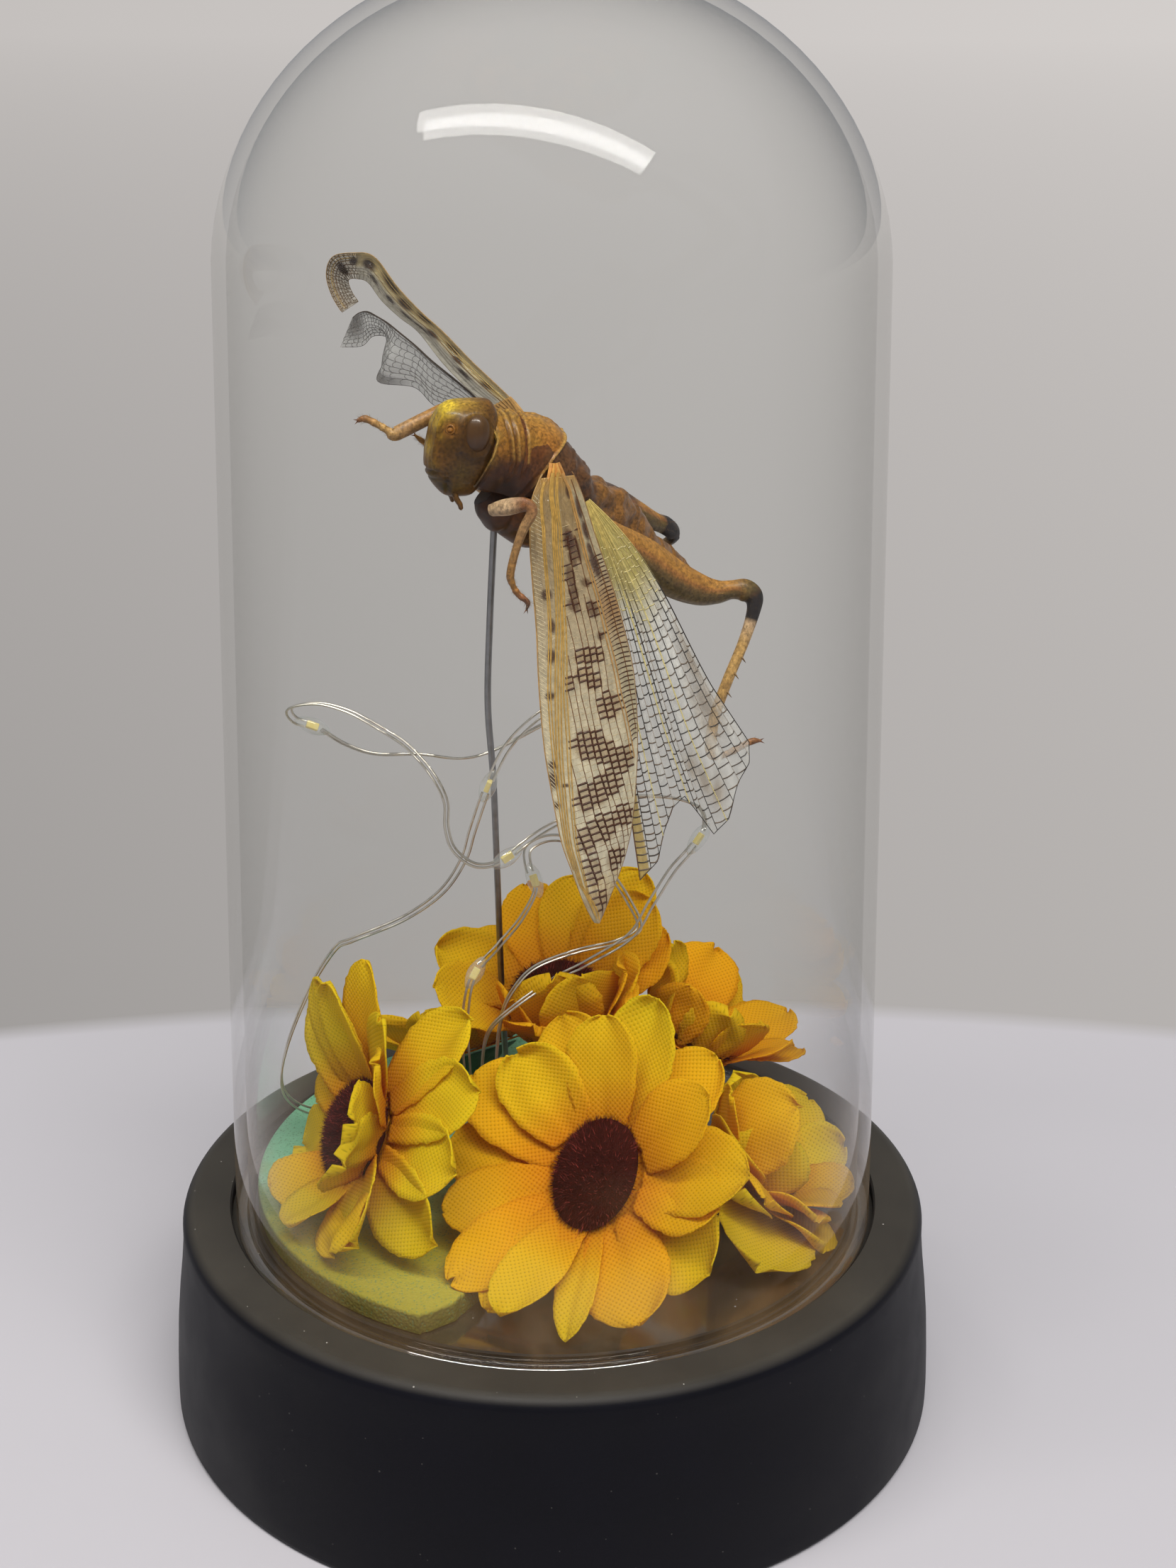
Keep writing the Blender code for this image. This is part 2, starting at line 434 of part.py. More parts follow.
def make_case():
    add_piece("base_body", turned(base_profile()), "black_plastic", 30.0)
    cover = [(0.0, 0.0), (COVER_RADIUS, 0.0), (COVER_RADIUS, COVER_THICKNESS), (0.0, COVER_THICKNESS)]
    add_piece("base_cover", turned(cover), "black_plastic", 30.0)
    add_piece("dome", turned(dome_profile()), "clear_dome", 30.0)


def make_foam():
    """A broken slab of foam: one side follows the glass, the others are torn straight."""
    first, last = FOAM_ARC
    steps = 18
    outline = []
    for k in range(steps + 1):
        a = math.radians(first + (last - first) * k / steps)
        outline.append((FOAM_RADIUS * math.cos(a), FOAM_RADIUS * math.sin(a)))
    outline += FOAM_BREAK
    low, high = BASE_HEIGHT + GAP, FOAM_TOP
    rings = [[Vector((x, y, z)) for x, y in outline] for z in (low, high)]
    add_piece("foam_block", loft(rings), "mint_foam", 30.0)


def make_stand():
    add_wire("stand_wire", smooth_route(STAND_ROUTE, 7.0), STAND_RADIUS, "stand_steel", sides=2)


# ---------------------------------------------------------------- locust

def head_shape():
    """The upright head: ovals from the crown down to the mouth."""
    rings = []
    side = HEAD_FORWARD.cross(Vector((0, 0, 1)))
    for x, y, z, half_width, half_length in HEAD:
        ring = []
        for k in range(14):
            a = 2 * math.pi * k / 14
            ring.append(Vector((x, y, z)) + HEAD_FORWARD * half_length * math.cos(a)
                        + side * half_width * math.sin(a))
        rings.append(ring)
    crown = Vector(HEAD[0][:3]) + Vector((0.0, 0.0, 0.7))
    mouth = Vector(HEAD[-1][:3]) - Vector((0.0, 0.0, 0.6))
    return loft(rings, crown, mouth)


def eye_shape(centre):
    shape = bmesh.new()
    bmesh.ops.create_uvsphere(shape, u_segments=10, v_segments=6, radius=1.0)
    bmesh.ops.scale(shape, vec=EYE_SIZE, verts=shape.verts)
    turn = math.atan2(HEAD_FORWARD.y, HEAD_FORWARD.x)
    bmesh.ops.transform(shape, matrix=Matrix.Translation(centre) @ Matrix.Rotation(turn, 4, "Z"),
                        verts=shape.verts)
    return shape


def make_trunk():
    up = Vector((0.0, 0.0, 1.0))
    trunk = add_piece("locust_body", body_loft(TRUNK, up), "shell_ochre", 60.0)
    parts = [add_piece("sternum_guide", body_loft(STERNUM, up, 12), "shell_ochre"),
             add_piece("head_guide", head_shape(), "shell_ochre")]
    for i, centre in enumerate(EYE_CENTRES):
        parts.append(add_piece(f"eye_guide_{i + 1}", eye_shape(centre), "shell_ochre"))
    join_solids(trunk, *parts)


def make_legs():
    across = Vector((0.0, 1.0, 0.0))
    for name, stations in LEGS.items():
        add_piece(f"locust_{name}", limb_loft(stations, across), "leg_brown", 50.0)


def near_point(span, chord, back=0.0):
    return NEAR_HINGE + NEAR_SPAN * span + NEAR_CHORD * chord + NEAR_BACK * back


def make_near_wings():
    """The near pair hangs down in front of the body, the hind wing behind the forewing."""
    columns = 4
    rows = []
    for span, lead, trail in NEAR_FOREWING:
        row = []
        for k in range(columns + 1):
            t = k / columns
            camber = -0.7 * math.sin(math.pi * t)
            row.append(near_point(span, lead + (trail - lead) * t, camber))
        rows.append(row)
    thicken(add_piece("locust_near_forewing", sheet(rows), "wing_membrane"), WING_THICKNESS)

    rays = []
    steps = 6
    root_span, root_chord = NEAR_HIND_ROOT
    for i, (span, chord) in enumerate(NEAR_HIND_MARGIN):
        share = i / (len(NEAR_HIND_MARGIN) - 1)
        ray = []
        for k in range(steps + 1):
            t = NEAR_HIND_START + (1 - NEAR_HIND_START) * k / steps
            bow = NEAR_HIND_BULGE * share * math.sin(math.pi * min(1.0, 1.3 * t)) * (1 - t)
            pleat = 0.35 * (-1) ** i * t
            ray.append(near_point(root_span + (span - root_span) * t - 0.5 * bow,
                                  root_chord + (chord - root_chord) * t + bow,
                                  NEAR_HIND_SETBACK + pleat))
        rays.append(ray)
    thicken(add_piece("locust_near_hindwing", sheet(rays), "hind_membrane"), WING_THICKNESS)


def make_far_wings():
    """The far pair is raised behind the head; its tips curl against the glass."""
    for name, pairs, finish in (("locust_far_forewing", FAR_FOREWING, "wing_membrane"),
                                ("locust_far_hindwing", FAR_HINDWING, "hind_membrane")):
        rows = []
        for lead, trail in pairs:
            lead, trail = Vector(lead), Vector(trail)
            rows.append([lead.lerp(trail, k / 3) for k in range(4)])
        thicken(add_piece(name, sheet(rows), finish), WING_THICKNESS)


# ---------------------------------------------------------------- sunflowers

def flower_frame(centre, normal):
    """Local +Z is the way the flower faces and +X is as near to world +X as it can be."""
    facing = Vector(normal).normalized()
    right = (Vector((1, 0, 0)) - facing * facing.x).normalized()
    up = facing.cross(right)
    turn = Matrix((right, up, facing)).transposed().to_4x4()
    return Matrix.Translation(centre) @ turn


def petal_rows(length, width, lift, curl, room):
    """Rows of three points from the hub to the tip; `room` is the angle free on each side."""
    rows = []
    radial, height = HUB_RADIUS, 0.0
    last = len(PETAL_WIDTHS) - 1
    for i, share in enumerate(PETAL_WIDTHS):
        half = min(0.5 * width * share, radial * math.tan(room))
        cup = 0.16 * width * share * (i / last)
        rows.append([(radial, side * half, height + cup * abs(side)) for side in (-1, 0, 1)])
        slope = math.radians(lift + curl * (i + 0.5) / last)
        radial += length / last * math.cos(slope)
        height += length / last * math.sin(slope)
    return rows


def corolla(petals):
    """One cut piece of cloth: a hub face with a petal on each of its sides."""
    shape = bmesh.new()
    hub = []
    petals = sorted(petals)
    angles = [petal[0] for petal in petals]
    for i, (angle, length, width, lift, curl) in enumerate(petals):
        before = (angle - angles[i - 1]) % 360
        after = (angles[(i + 1) % len(angles)] - angle) % 360
        room = math.radians(PETAL_ROOM * min(before, after))
        turn = Matrix.Rotation(math.radians(angle), 3, "Z")
        grid = [[shape.verts.new(turn @ Vector(p)) for p in row]
                for row in petal_rows(length, width, lift, curl, room)]
        for first, second in zip(grid, grid[1:]):
            for k in range(2):
                shape.faces.new((first[k], second[k], second[k + 1], first[k + 1]))
        hub += grid[0]
    shape.faces.new(hub)
    return shape


def make_flowers():
    for name, (centre, normal, petals, stem_route) in FLOWERS.items():
        frame = flower_frame(centre, normal)
        cloth = corolla(petals)
        bmesh.ops.transform(cloth, matrix=frame, verts=cloth.verts)
        thicken(add_piece(f"flower_{name}_petals", cloth, "petal_cloth"), PETAL_THICKNESS)

        low = 0.5 * PETAL_THICKNESS + GAP
        button = turned([(0.0, low), (CENTRE_RADIUS - 0.7, low), (CENTRE_RADIUS, low + 0.6),
                         (0.84 * CENTRE_RADIUS, 0.62 * CENTRE_HEIGHT),
                         (0.5 * CENTRE_RADIUS, 0.93 * CENTRE_HEIGHT), (0.0, CENTRE_HEIGHT)], steps=14)
        wide, tall, lean = CENTRE_OVALS.get(name, (1.0, 1.0, 0.0))
        squeeze = Matrix.Rotation(math.radians(lean), 4, "Z") @ Matrix.Diagonal((wide, tall, 1.0, 1.0))
        bmesh.ops.transform(button, matrix=frame @ squeeze, verts=button.verts)
        add_piece(f"flower_{name}_centre", button, "flock_burgundy", 50.0)

        calyx = [(*(frame @ Vector((0.0, 0.0, -low - depth))), radius)
                 for depth, radius in ((0.0, 4.4), (1.2, 3.4), (3.0, STEM_RADIUS))]
        stations = calyx + [(*point, STEM_RADIUS) for point in stem_route]
        upright = frame.to_3x3() @ Vector((0.0, 1.0, 0.0))
        add_piece(f"flower_{name}_stem", stem_loft(stations, upright), "stem_green", 50.0)


# ---------------------------------------------------------------- lights

def bead_shape(centre, along):
    """A drop of clear resin moulded round a chip."""
    half, wide = BEAD_HALF_LENGTH, BEAD_RADIUS
    profile = [(0.0, -half), (0.62 * wide, -0.8 * half), (wide, -0.2 * half), (0.86 * wide, 0.45 * half),
               (0.42 * wide, 0.88 * half), (0.0, half)]
    shape = turned(profile, steps=8)
    turn = Vector((0, 0, 1)).rotation_difference(along).to_matrix().to_4x4()
    bmesh.ops.transform(shape, matrix=Matrix.Translation(centre) @ turn, verts=shape.verts)
    return shape


def make_strand(name, points, drops):
    """Wire runs from drop to drop; each run stops just short of the drops at its ends."""
    route = smooth_route(points, FINE_STEP)
    marks = []
    for place in drops:
        mark = min(range(len(route)), key=lambda k: (route[k] - Vector(place)).length)
        marks.append(mark)
    for i, mark in enumerate(marks):
        along = (route[mark + 4] - route[mark - 4]).normalized()
        add_piece(f"light_{name}_drop_{i + 1}", bead_shape(route[mark], along), "resin_drop", 60.0)
    reach = round((BEAD_HALF_LENGTH + 2 * GAP) / FINE_STEP)
    starts = [0] + [mark + reach for mark in marks]
    ends = [mark - reach for mark in marks] + [len(route) - 1]
    for i, (start, end) in enumerate(zip(starts, ends)):
        add_wire(f"light_{name}_wire_{i + 1}", smooth_route(route[start:end + 1:8], WIRE_STEP),
                 WIRE_RADIUS, "silver_wire")


def main():
    clear_scene()
    make_case()
    make_foam()
    make_stand()
    make_trunk()
    make_legs()
    make_near_wings()
    make_far_wings()
    make_flowers()
    for name, (points, drops) in STRANDS.items():
        make_strand(name, points, drops)


main()
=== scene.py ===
# %% [markdown]
# # A dried locust in a glass dome
#
# The real thing is a souvenir display: a large dried locust with its wings pinned open, held up by
# one bent wire inside a clear dome, above cloth sunflowers and a string of small lights.
# Blender loads the plain solids of every piece first.  Each step below then makes the visible
# surface of one piece in the same place, so that nothing has to be fitted afterwards.

# %% Load the solids and note their size
import random
from math import copysign, cos, exp, hypot, pi, radians, sin, sqrt

import bmesh
import bpy
import numpy as np
from mathutils import Matrix, Vector, noise


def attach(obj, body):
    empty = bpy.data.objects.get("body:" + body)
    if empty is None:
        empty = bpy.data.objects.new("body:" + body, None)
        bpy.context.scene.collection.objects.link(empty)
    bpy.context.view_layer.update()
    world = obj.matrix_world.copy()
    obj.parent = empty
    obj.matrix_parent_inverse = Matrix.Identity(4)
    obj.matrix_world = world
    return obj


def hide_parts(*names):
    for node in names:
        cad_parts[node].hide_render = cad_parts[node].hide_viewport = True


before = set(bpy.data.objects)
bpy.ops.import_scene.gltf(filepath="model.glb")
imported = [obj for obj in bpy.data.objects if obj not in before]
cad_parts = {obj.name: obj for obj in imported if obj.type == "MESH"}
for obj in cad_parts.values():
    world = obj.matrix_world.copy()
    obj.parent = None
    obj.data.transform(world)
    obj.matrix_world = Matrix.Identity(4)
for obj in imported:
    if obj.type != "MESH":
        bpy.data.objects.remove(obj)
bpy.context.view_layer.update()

MM, UP = 0.001, Vector((0, 0, 1))
scene = bpy.context.scene

# %% [markdown]
# Operators act on whatever is selected, so each new piece starts with nothing selected.  A piece is
# finished when its place is in its mesh and its object sits at the origin: patterns that read object
# coordinates then stay where they are.

# %% Small helpers for starting and finishing a piece
def clamp(value):
    return min(1.0, max(0.0, value))


def blend(first, second, share):
    """A colour or a place between two others."""
    return Vector(first).lerp(Vector(second), share)


def read_off(value, places, values):
    """The value between two columns of numbers."""
    return float(np.interp(value, places, values))


def standing(origin, x, y, z):
    """A placement whose axes point in the three given directions."""
    return Matrix.Translation(origin) @ Matrix((x, y, z)).transposed().to_4x4()


def start_fresh():
    """Leave edit mode and select nothing."""
    if bpy.context.object and bpy.context.object.mode != "OBJECT":
        bpy.ops.object.mode_set(mode="OBJECT")
    bpy.ops.object.select_all(action="DESELECT")


def make_active(piece):
    start_fresh()
    piece.select_set(True)
    bpy.context.view_layer.objects.active = piece


def new_mesh(name, points, faces, scale=MM):
    """A mesh object from points in millimetres and faces."""
    mesh = bpy.data.meshes.new(name)
    mesh.from_pydata([Vector(p) * scale for p in points], [], faces)
    mesh.update()
    piece = bpy.data.objects.new(name, mesh)
    scene.collection.objects.link(piece)
    return piece


def smooth(piece, angle=40.0):
    """Shade smooth, but keep edges sharper than the angle."""
    make_active(piece)
    bpy.ops.object.shade_smooth_by_angle(angle=radians(angle))


def tidy_normals(piece, merge=0.0):
    """Merge doubles if asked, and turn every face outwards."""
    make_active(piece)
    bpy.ops.object.mode_set(mode="EDIT")
    bpy.ops.mesh.select_all(action="SELECT")
    if merge:
        bpy.ops.mesh.remove_doubles(threshold=merge)
    bpy.ops.mesh.normals_make_consistent(inside=False)
    bpy.ops.object.mode_set(mode="OBJECT")


def modify(piece, kind, **settings):
    """Add a modifier, set it and apply it."""
    make_active(piece)
    change = piece.modifiers.new(kind.lower(), kind)
    for key, value in settings.items():
        setattr(change, key, value)
    bpy.ops.object.modifier_apply(modifier=change.name)


def place(piece, finish, slot, *nodes):
    """The piece wears a finish, rides on the display and stands for the solids it covers."""
    piece.data.materials.append(finish.material)
    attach(piece, "root")
    if nodes:
        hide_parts(*nodes)
    print(f"{piece.name}: {len(piece.data.polygons)} faces")

# %% [markdown]
# Most skins here are rows of points with a four-sided face between each four neighbours, and a row
# that goes round a body closes on itself.  Grown and bent shapes have no plain primitive to start
# from, so their rows are worked out point by point.

# %% Rows of points
def grid_faces(rows, columns, start=0, looped=True):
    """Faces between rows of points, from the point with the number `start` on."""
    faces = []
    for i in range(rows - 1):
        for k in range(columns if looped else columns - 1):
            a, b = start + i * columns + k, start + i * columns + (k + 1) % columns
            faces.append((a, b, b + columns, a + columns))
    return faces


def end_faces(rows, columns):
    """One face over the first row and one over the last."""
    return [tuple(range(columns))[::-1], tuple(range((rows - 1) * columns, rows * columns))]


def heading(line, i):
    """The direction of a line of points at its point i."""
    return line[min(i + 1, len(line) - 1)] - line[max(i - 1, 0)]


def frames_along(line, side=None):
    """Each point of a line, its heading and two directions across it that turn as little as they can."""
    for i, point in enumerate(line):
        way = heading(line, i).normalized()
        side = way.orthogonal().normalized() if side is None else (side - way * side.dot(way)).normalized()
        yield point, way, side, way.cross(side)

# %% [markdown]
# Materials are node trees.  This helper keeps their code short: it adds nodes by type, sets their
# fixed inputs by name, and links the others.  A node stands for its first output.

# %% A helper for node materials
class Finish:
    """A Principled material that is built up node by node."""

    def __init__(self, name, **inputs):
        self.material = bpy.data.materials.new(name)
        self.material.use_nodes = True
        self.tree = self.material.node_tree
        self.shader = self.tree.nodes["Principled BSDF"]
        self.output = self.tree.nodes["Material Output"]
        self.look(**inputs)

    def look(self, **inputs):
        self.feed(self.shader, **inputs)

    def plug(self, socket, value):
        if isinstance(value, bpy.types.Node):
            value = value.outputs[0]
        if isinstance(value, bpy.types.NodeSocket):
            self.tree.links.new(value, socket)
        else:
            socket.default_value = value

    def feed(self, node, **inputs):
        """An input is named by its label, or by its number after an underscore."""
        for key, value in inputs.items():
            name = int(key[1:]) if key[0] == "_" else key.replace("_", " ")
            self.plug(node.inputs[name], value)
        return node

    def node(self, kind, settings=None, **inputs):
        node = self.tree.nodes.new("ShaderNode" + kind)
        for key, value in (settings or {}).items():
            setattr(node, key, value)
        return self.feed(node, **inputs)

    def show(self, shader):
        self.feed(self.output, Surface=shader)

    def layers(self, share, below, above):
        return self.node("MixShader", _0=share, _1=below, _2=above)

    def where(self):
        """Object coordinates in millimetres."""
        return self.stretch(self.node("TexCoord").outputs["Object"], 1000.0, 1000.0, 1000.0)

    def stretch(self, vector, x, y, z):
        return self.node("Mapping", Vector=vector, Scale=(x, y, z))

    def axis(self, vector, name):
        return self.node("SeparateXYZ", Vector=vector).outputs[name]

    def slope(self):
        """0 where the surface faces the eye, 1 where it is seen edge on."""
        return self.node("LayerWeight", Blend=0.5).outputs["Facing"]

    def colour_of(self, attribute):
        return self.node("Attribute", {"attribute_name": attribute}).outputs["Color"]

    def number_of(self, attribute):
        return self.node("Attribute", {"attribute_name": attribute}).outputs["Fac"]

    def noise(self, vector, scale, detail=4.0, rough=0.55):
        return self.node("TexNoise", Vector=vector, Scale=scale, Detail=detail, Roughness=rough).outputs["Fac"]

    def cells(self, vector, scale):
        """The distance to the nearest of many scattered points."""
        return self.node("TexVoronoi", Vector=vector, Scale=scale).outputs["Distance"]

    def span(self, value, low, high, first=0.0, last=1.0):
        """A value from low to high becomes one from first to last."""
        return self.node("MapRange", Value=value, _1=low, _2=high, _3=first, _4=last)

    def ramp(self, factor, *stops):
        """Stops of (position, colour) or (position, grey)."""
        node = self.node("ValToRGB", Fac=factor)
        ramp = node.color_ramp
        for i, (position, colour) in enumerate(stops):
            colour = colour if isinstance(colour, tuple) else (colour,) * 3
            stop = ramp.elements[i] if i < 2 else ramp.elements.new(position)
            stop.position = position
            stop.color = (*colour, 1.0)
        return node.outputs["Color"]

    def mix(self, factor, first, second, blend="MIX"):
        node = self.node("Mix", {"data_type": "RGBA", "blend_type": blend})
        for key, value in ((0, factor), (6, first), (7, second)):
            self.plug(node.inputs[key], (*value, 1.0) if isinstance(value, tuple) else value)
        return node.outputs[2]

    def dim(self, first, second):
        return self.mix(1.0, first, second, "MULTIPLY")

    def math(self, operation, first, second=0.0, third=0.0):
        return self.node("Math", {"operation": operation}, _0=first, _1=second, _2=third)

    def plus(self, first, second):
        return self.math("ADD", first, second)

    def times(self, first, second, plus=None):
        """A product, or with `plus` a product and a sum."""
        if plus is None:
            return self.math("MULTIPLY", first, second)
        return self.math("MULTIPLY_ADD", first, second, plus)

    def power(self, first, second):
        return self.math("POWER", first, second)

    def bump(self, height, strength, distance=0.0002):
        return self.node("Bump", Height=height, Strength=strength, Distance=distance).outputs["Normal"]

# %% [markdown]
# The camera stands a little above the dome and looks down on it, as in the photograph.  The angles
# were solved from the outlines of the round base and the glass.

# %% Camera
CAMERA_PLACE = (0.0, -0.2967, 0.2041)
PITCH, YAW, ROLL = 0.361, 0.016, 0.005  # in radians
SENSOR = 36.0
LENS = SENSOR * 3300 / 2212  # solved as 3300 pixels, in a picture 2212 pixels high

bpy.ops.object.camera_add(location=CAMERA_PLACE)
camera = bpy.context.object
camera.name = "camera"
forward = Vector((sin(YAW) * cos(PITCH), cos(YAW) * cos(PITCH), -sin(PITCH)))
right = forward.cross(UP).normalized()
up = right.cross(forward)
right, up = (cos(ROLL) * right + sin(ROLL) * up, -sin(ROLL) * right + cos(ROLL) * up)
camera.matrix_world = standing(CAMERA_PLACE, right, up, -forward)
camera.data.lens = LENS
camera.data.sensor_width = SENSOR
camera.data.clip_start = 0.01
scene.camera = camera
print("lens", round(LENS, 1), "mm")

# %% [markdown]
# The display stands on a plain pale table top, and a plain wall lies beyond its back edge.  One
# large disc does for both.  Beyond the edge it shines faintly by itself, a little brighter to the
# right and with distance, as an evenly lit wall does, and it takes no shadows there.

# %% Stage
TABLE_EDGE = 0.1204  # how far behind the middle of the display the table ends, in metres
bpy.ops.mesh.primitive_circle_add(vertices=96, radius=9.0, fill_type="NGON", location=(0, 0, 0))
floor = bpy.context.object
floor.name = "stage_floor"
finish = Finish("stage_surface", Base_Color=(0.4, 0.385, 0.405, 1.0), Roughness=0.6)
spot = finish.node("TexCoord").outputs["Object"]
east, north = finish.axis(spot, "X"), finish.axis(spot, "Y")
across = finish.node("Clamp", Value=east, Min=-0.2, Max=0.2)
bowed = finish.plus(north, finish.times(finish.times(across, 1.0, -0.01), across))
edge = finish.node("Clamp", Value=finish.times(bowed, 150.0, 0.5 - 150.0 * TABLE_EDGE))
far = finish.ramp(finish.power(finish.times(north, 0.2), 0.5), (0.14, 0.0), (0.85, 1.0))
sideways = finish.times(finish.math("DIVIDE", east, finish.plus(north, 0.3)), 1.75, 0.5)
sideways = finish.node("Clamp", Value=sideways, Min=-0.6, Max=1.4)
level = finish.times(far, 0.19, finish.times(sideways, 0.11, 0.335))
wall = finish.dim(finish.node("CombineColor", Red=level, Green=level, Blue=level), (1.03, 0.98, 0.95))
shine = finish.node("Emission", Color=wall, Strength=1.0)
finish.show(finish.layers(edge, finish.shader, shine))
floor.data.materials.append(finish.material)
print("table ends", TABLE_EDGE, "m behind the display")

# %% [markdown]
# Soft daylight comes from all round, and one long ceiling lamp in front gives the curved streak
# that is mirrored on the top of the dome.

# %% Light
world = bpy.data.worlds.new("soft_room")
world.use_nodes = True
sky = world.node_tree.nodes["Background"]
sky.inputs["Color"].default_value = (0.93, 0.95, 1.0, 1.0)
sky.inputs["Strength"].default_value = 0.3
scene.world = world

LAMP_PLACE, LAMP_TARGET, LAMP_LEAN = (-0.05, -0.3, 0.88), (0.0, 0.0, 0.15), -0.15
scene.view_settings.view_transform = "Standard"
bpy.ops.object.light_add(type="AREA", location=LAMP_PLACE)
lamp = bpy.context.object
lamp.name = "ceiling_lamp"
aim = (Vector(LAMP_TARGET) - Vector(LAMP_PLACE)).to_track_quat("-Z", "Y").to_matrix()
lamp.matrix_world = Matrix.Translation(LAMP_PLACE) @ (aim @ Matrix.Rotation(LAMP_LEAN, 3, "Z")).to_4x4()
lamp.data.shape = "RECTANGLE"
lamp.data.size, lamp.data.size_y = 1.0, 0.12
lamp.data.energy = 9.0
lamp.data.color = (1.0, 0.98, 0.95)
bpy.ops.object.light_add(type="SUN", location=(0.3, -0.5, 1.5))
window = bpy.context.object
window.name = "window_light"
window.rotation_euler = Vector((0.3, -0.62, 1.0)).to_track_quat("Z", "Y").to_euler()
window.data.energy = 1.85
window.data.angle = radians(38)
window.visible_glossy = False

# %% [markdown]
# ## The case
#
# The base is a moulded black cup, turned upside down.  A turned shape is drawn as half of its
# outline and spun round the axis; small steps give a round rim that catches the light.

# %% A spun shape
def spun(name, outline, steps=160):
    """Spin an outline of (radius, height) in millimetres round the Z axis."""
    start_fresh()
    bpy.ops.mesh.primitive_circle_add(vertices=len(outline), radius=MM, fill_type="NOTHING")
    piece = bpy.context.object
    piece.name = name
    for vertex, (radius, height) in zip(piece.data.vertices, outline):
        vertex.co = (radius * MM, 0.0, height * MM)
    mesh = bmesh.new()
    mesh.from_mesh(piece.data)
    ends = [e for e in mesh.edges if all(abs(v.co.x) < 1e-9 for v in e.verts)]
    bmesh.ops.delete(mesh, geom=ends, context="EDGES")
    mesh.to_mesh(piece.data)
    mesh.free()
    make_active(piece)
    bpy.ops.object.mode_set(mode="EDIT")
    bpy.ops.mesh.select_all(action="SELECT")
    bpy.ops.mesh.spin(steps=steps, angle=2 * pi, center=(0, 0, 0), axis=(0, 0, 1))
    bpy.ops.mesh.select_all(action="SELECT")
    bpy.ops.mesh.remove_doubles(threshold=1e-6)
    bpy.ops.mesh.normals_make_consistent(inside=False)
    bpy.ops.object.mode_set(mode="OBJECT")
    return piece


def arc(centre, radius, first, last, count):
    """Points of (radius, height) on an arc; angles in degrees."""
    points = []
    for k in range(count + 1):
        a = radians(first + (last - first) * k / count)
        points.append((centre[0] + radius * cos(a), centre[1] + radius * sin(a)))
    return points

# %% Base
BASE_TOP = 30.3  # every size from here on is in millimetres
GROOVE_INNER, GROOVE_OUTER, GROOVE_DEPTH = 43.0, 46.1, 2.0
UNDER_GLASS = 44.5  # inside this radius the top is the floor of the dome, and it is glossier
outline = [(0.0, 1.8), (50.3, 1.8), (50.3, 0.0)] + arc((54.1, 0.9), 0.9, -90, 0, 6)
outline += [(55.0, 3.0), (54.8, 8.0), (54.5, 13.0), (54.0, 18.0), (53.5, 22.0), (53.1, 26.0)]
outline += arc((50.9, 28.1), 2.2, 12, 90, 10)
outline += [(GROOVE_OUTER + 0.25, BASE_TOP), (GROOVE_OUTER, BASE_TOP - 0.25),
            (GROOVE_OUTER, BASE_TOP - GROOVE_DEPTH), (GROOVE_INNER, BASE_TOP - GROOVE_DEPTH),
            (GROOVE_INNER, BASE_TOP - 0.25), (GROOVE_INNER - 0.25, BASE_TOP), (0.0, BASE_TOP)]
base = spun("base", outline)
smooth(base, 32)

# %% [markdown]
# The plastic is plain black and half glossy.  Its sides face the dim room and are painted nearly
# black, as painted shade; the flat top is painted a lighter brown, as painted light where it catches
# the light, is specked with dust and shines more under the dome.

# %% Black plastic
plastic = Finish("black_plastic", Specular_IOR_Level=0.16)
spot = plastic.where()
facing = plastic.axis(plastic.node("NewGeometry").outputs["Normal"], "Z")
flat = plastic.ramp(facing, (0.55, 0.0), (0.95, 1.0))
haze_and_reflection = plastic.noise(spot, 0.09, 3.0)
grain = plastic.noise(spot, 9.0, 3.0, 0.7)
# painted shade and light: a nearly black colour for the sides, a lighter brown for the flat top
side = plastic.mix(haze_and_reflection, (0.001, 0.001, 0.002), (0.003, 0.003, 0.006))
lit_top_colour = plastic.mix(haze_and_reflection, (0.024, 0.021, 0.017), (0.044, 0.039, 0.031))
dark = plastic.mix(flat, side, lit_top_colour)
sizes = plastic.noise(spot, 0.31, 1.0)
speck = plastic.math("LESS_THAN", plastic.cells(spot, 0.42), plastic.times(sizes, 0.085))
speck = plastic.times(speck, plastic.times(flat, 0.8, 0.12))
reach = plastic.plus(plastic.power(plastic.axis(spot, "X"), 2.0), plastic.power(plastic.axis(spot, "Y"), 2.0))
under_glass = plastic.times(plastic.math("LESS_THAN", reach, UNDER_GLASS ** 2), flat)
rough = plastic.times(haze_and_reflection, 0.22, plastic.times(flat, -0.1, 0.38))
plastic.look(Base_Color=plastic.mix(speck, dark, (0.32, 0.3, 0.27)), Normal=plastic.bump(grain, 0.22, 0.00012),
             Roughness=plastic.times(under_glass, -0.16, rough))
gloss = plastic.node("BsdfGlossy", Color=(1.0, 1.0, 1.0, 1.0), Roughness=0.09)
shine = plastic.times(plastic.power(plastic.slope(), 3.0), 0.5, 0.1)
plastic.show(plastic.layers(plastic.times(under_glass, shine), plastic.shader, gloss))
place(base, plastic, "black_plastic", "base_body")

# %% [markdown]
# Underneath, a thin disc closes the hollow of the base.  It is a plain turned plate.

# %% Cover under the base
cover = spun("base_underside", [(0.0, 0.0), (49.7, 0.0), (50.0, 0.3), (50.0, 1.5), (0.0, 1.5)], 96)
smooth(cover, 30)
place(cover, plastic, "black_plastic", "base_cover")
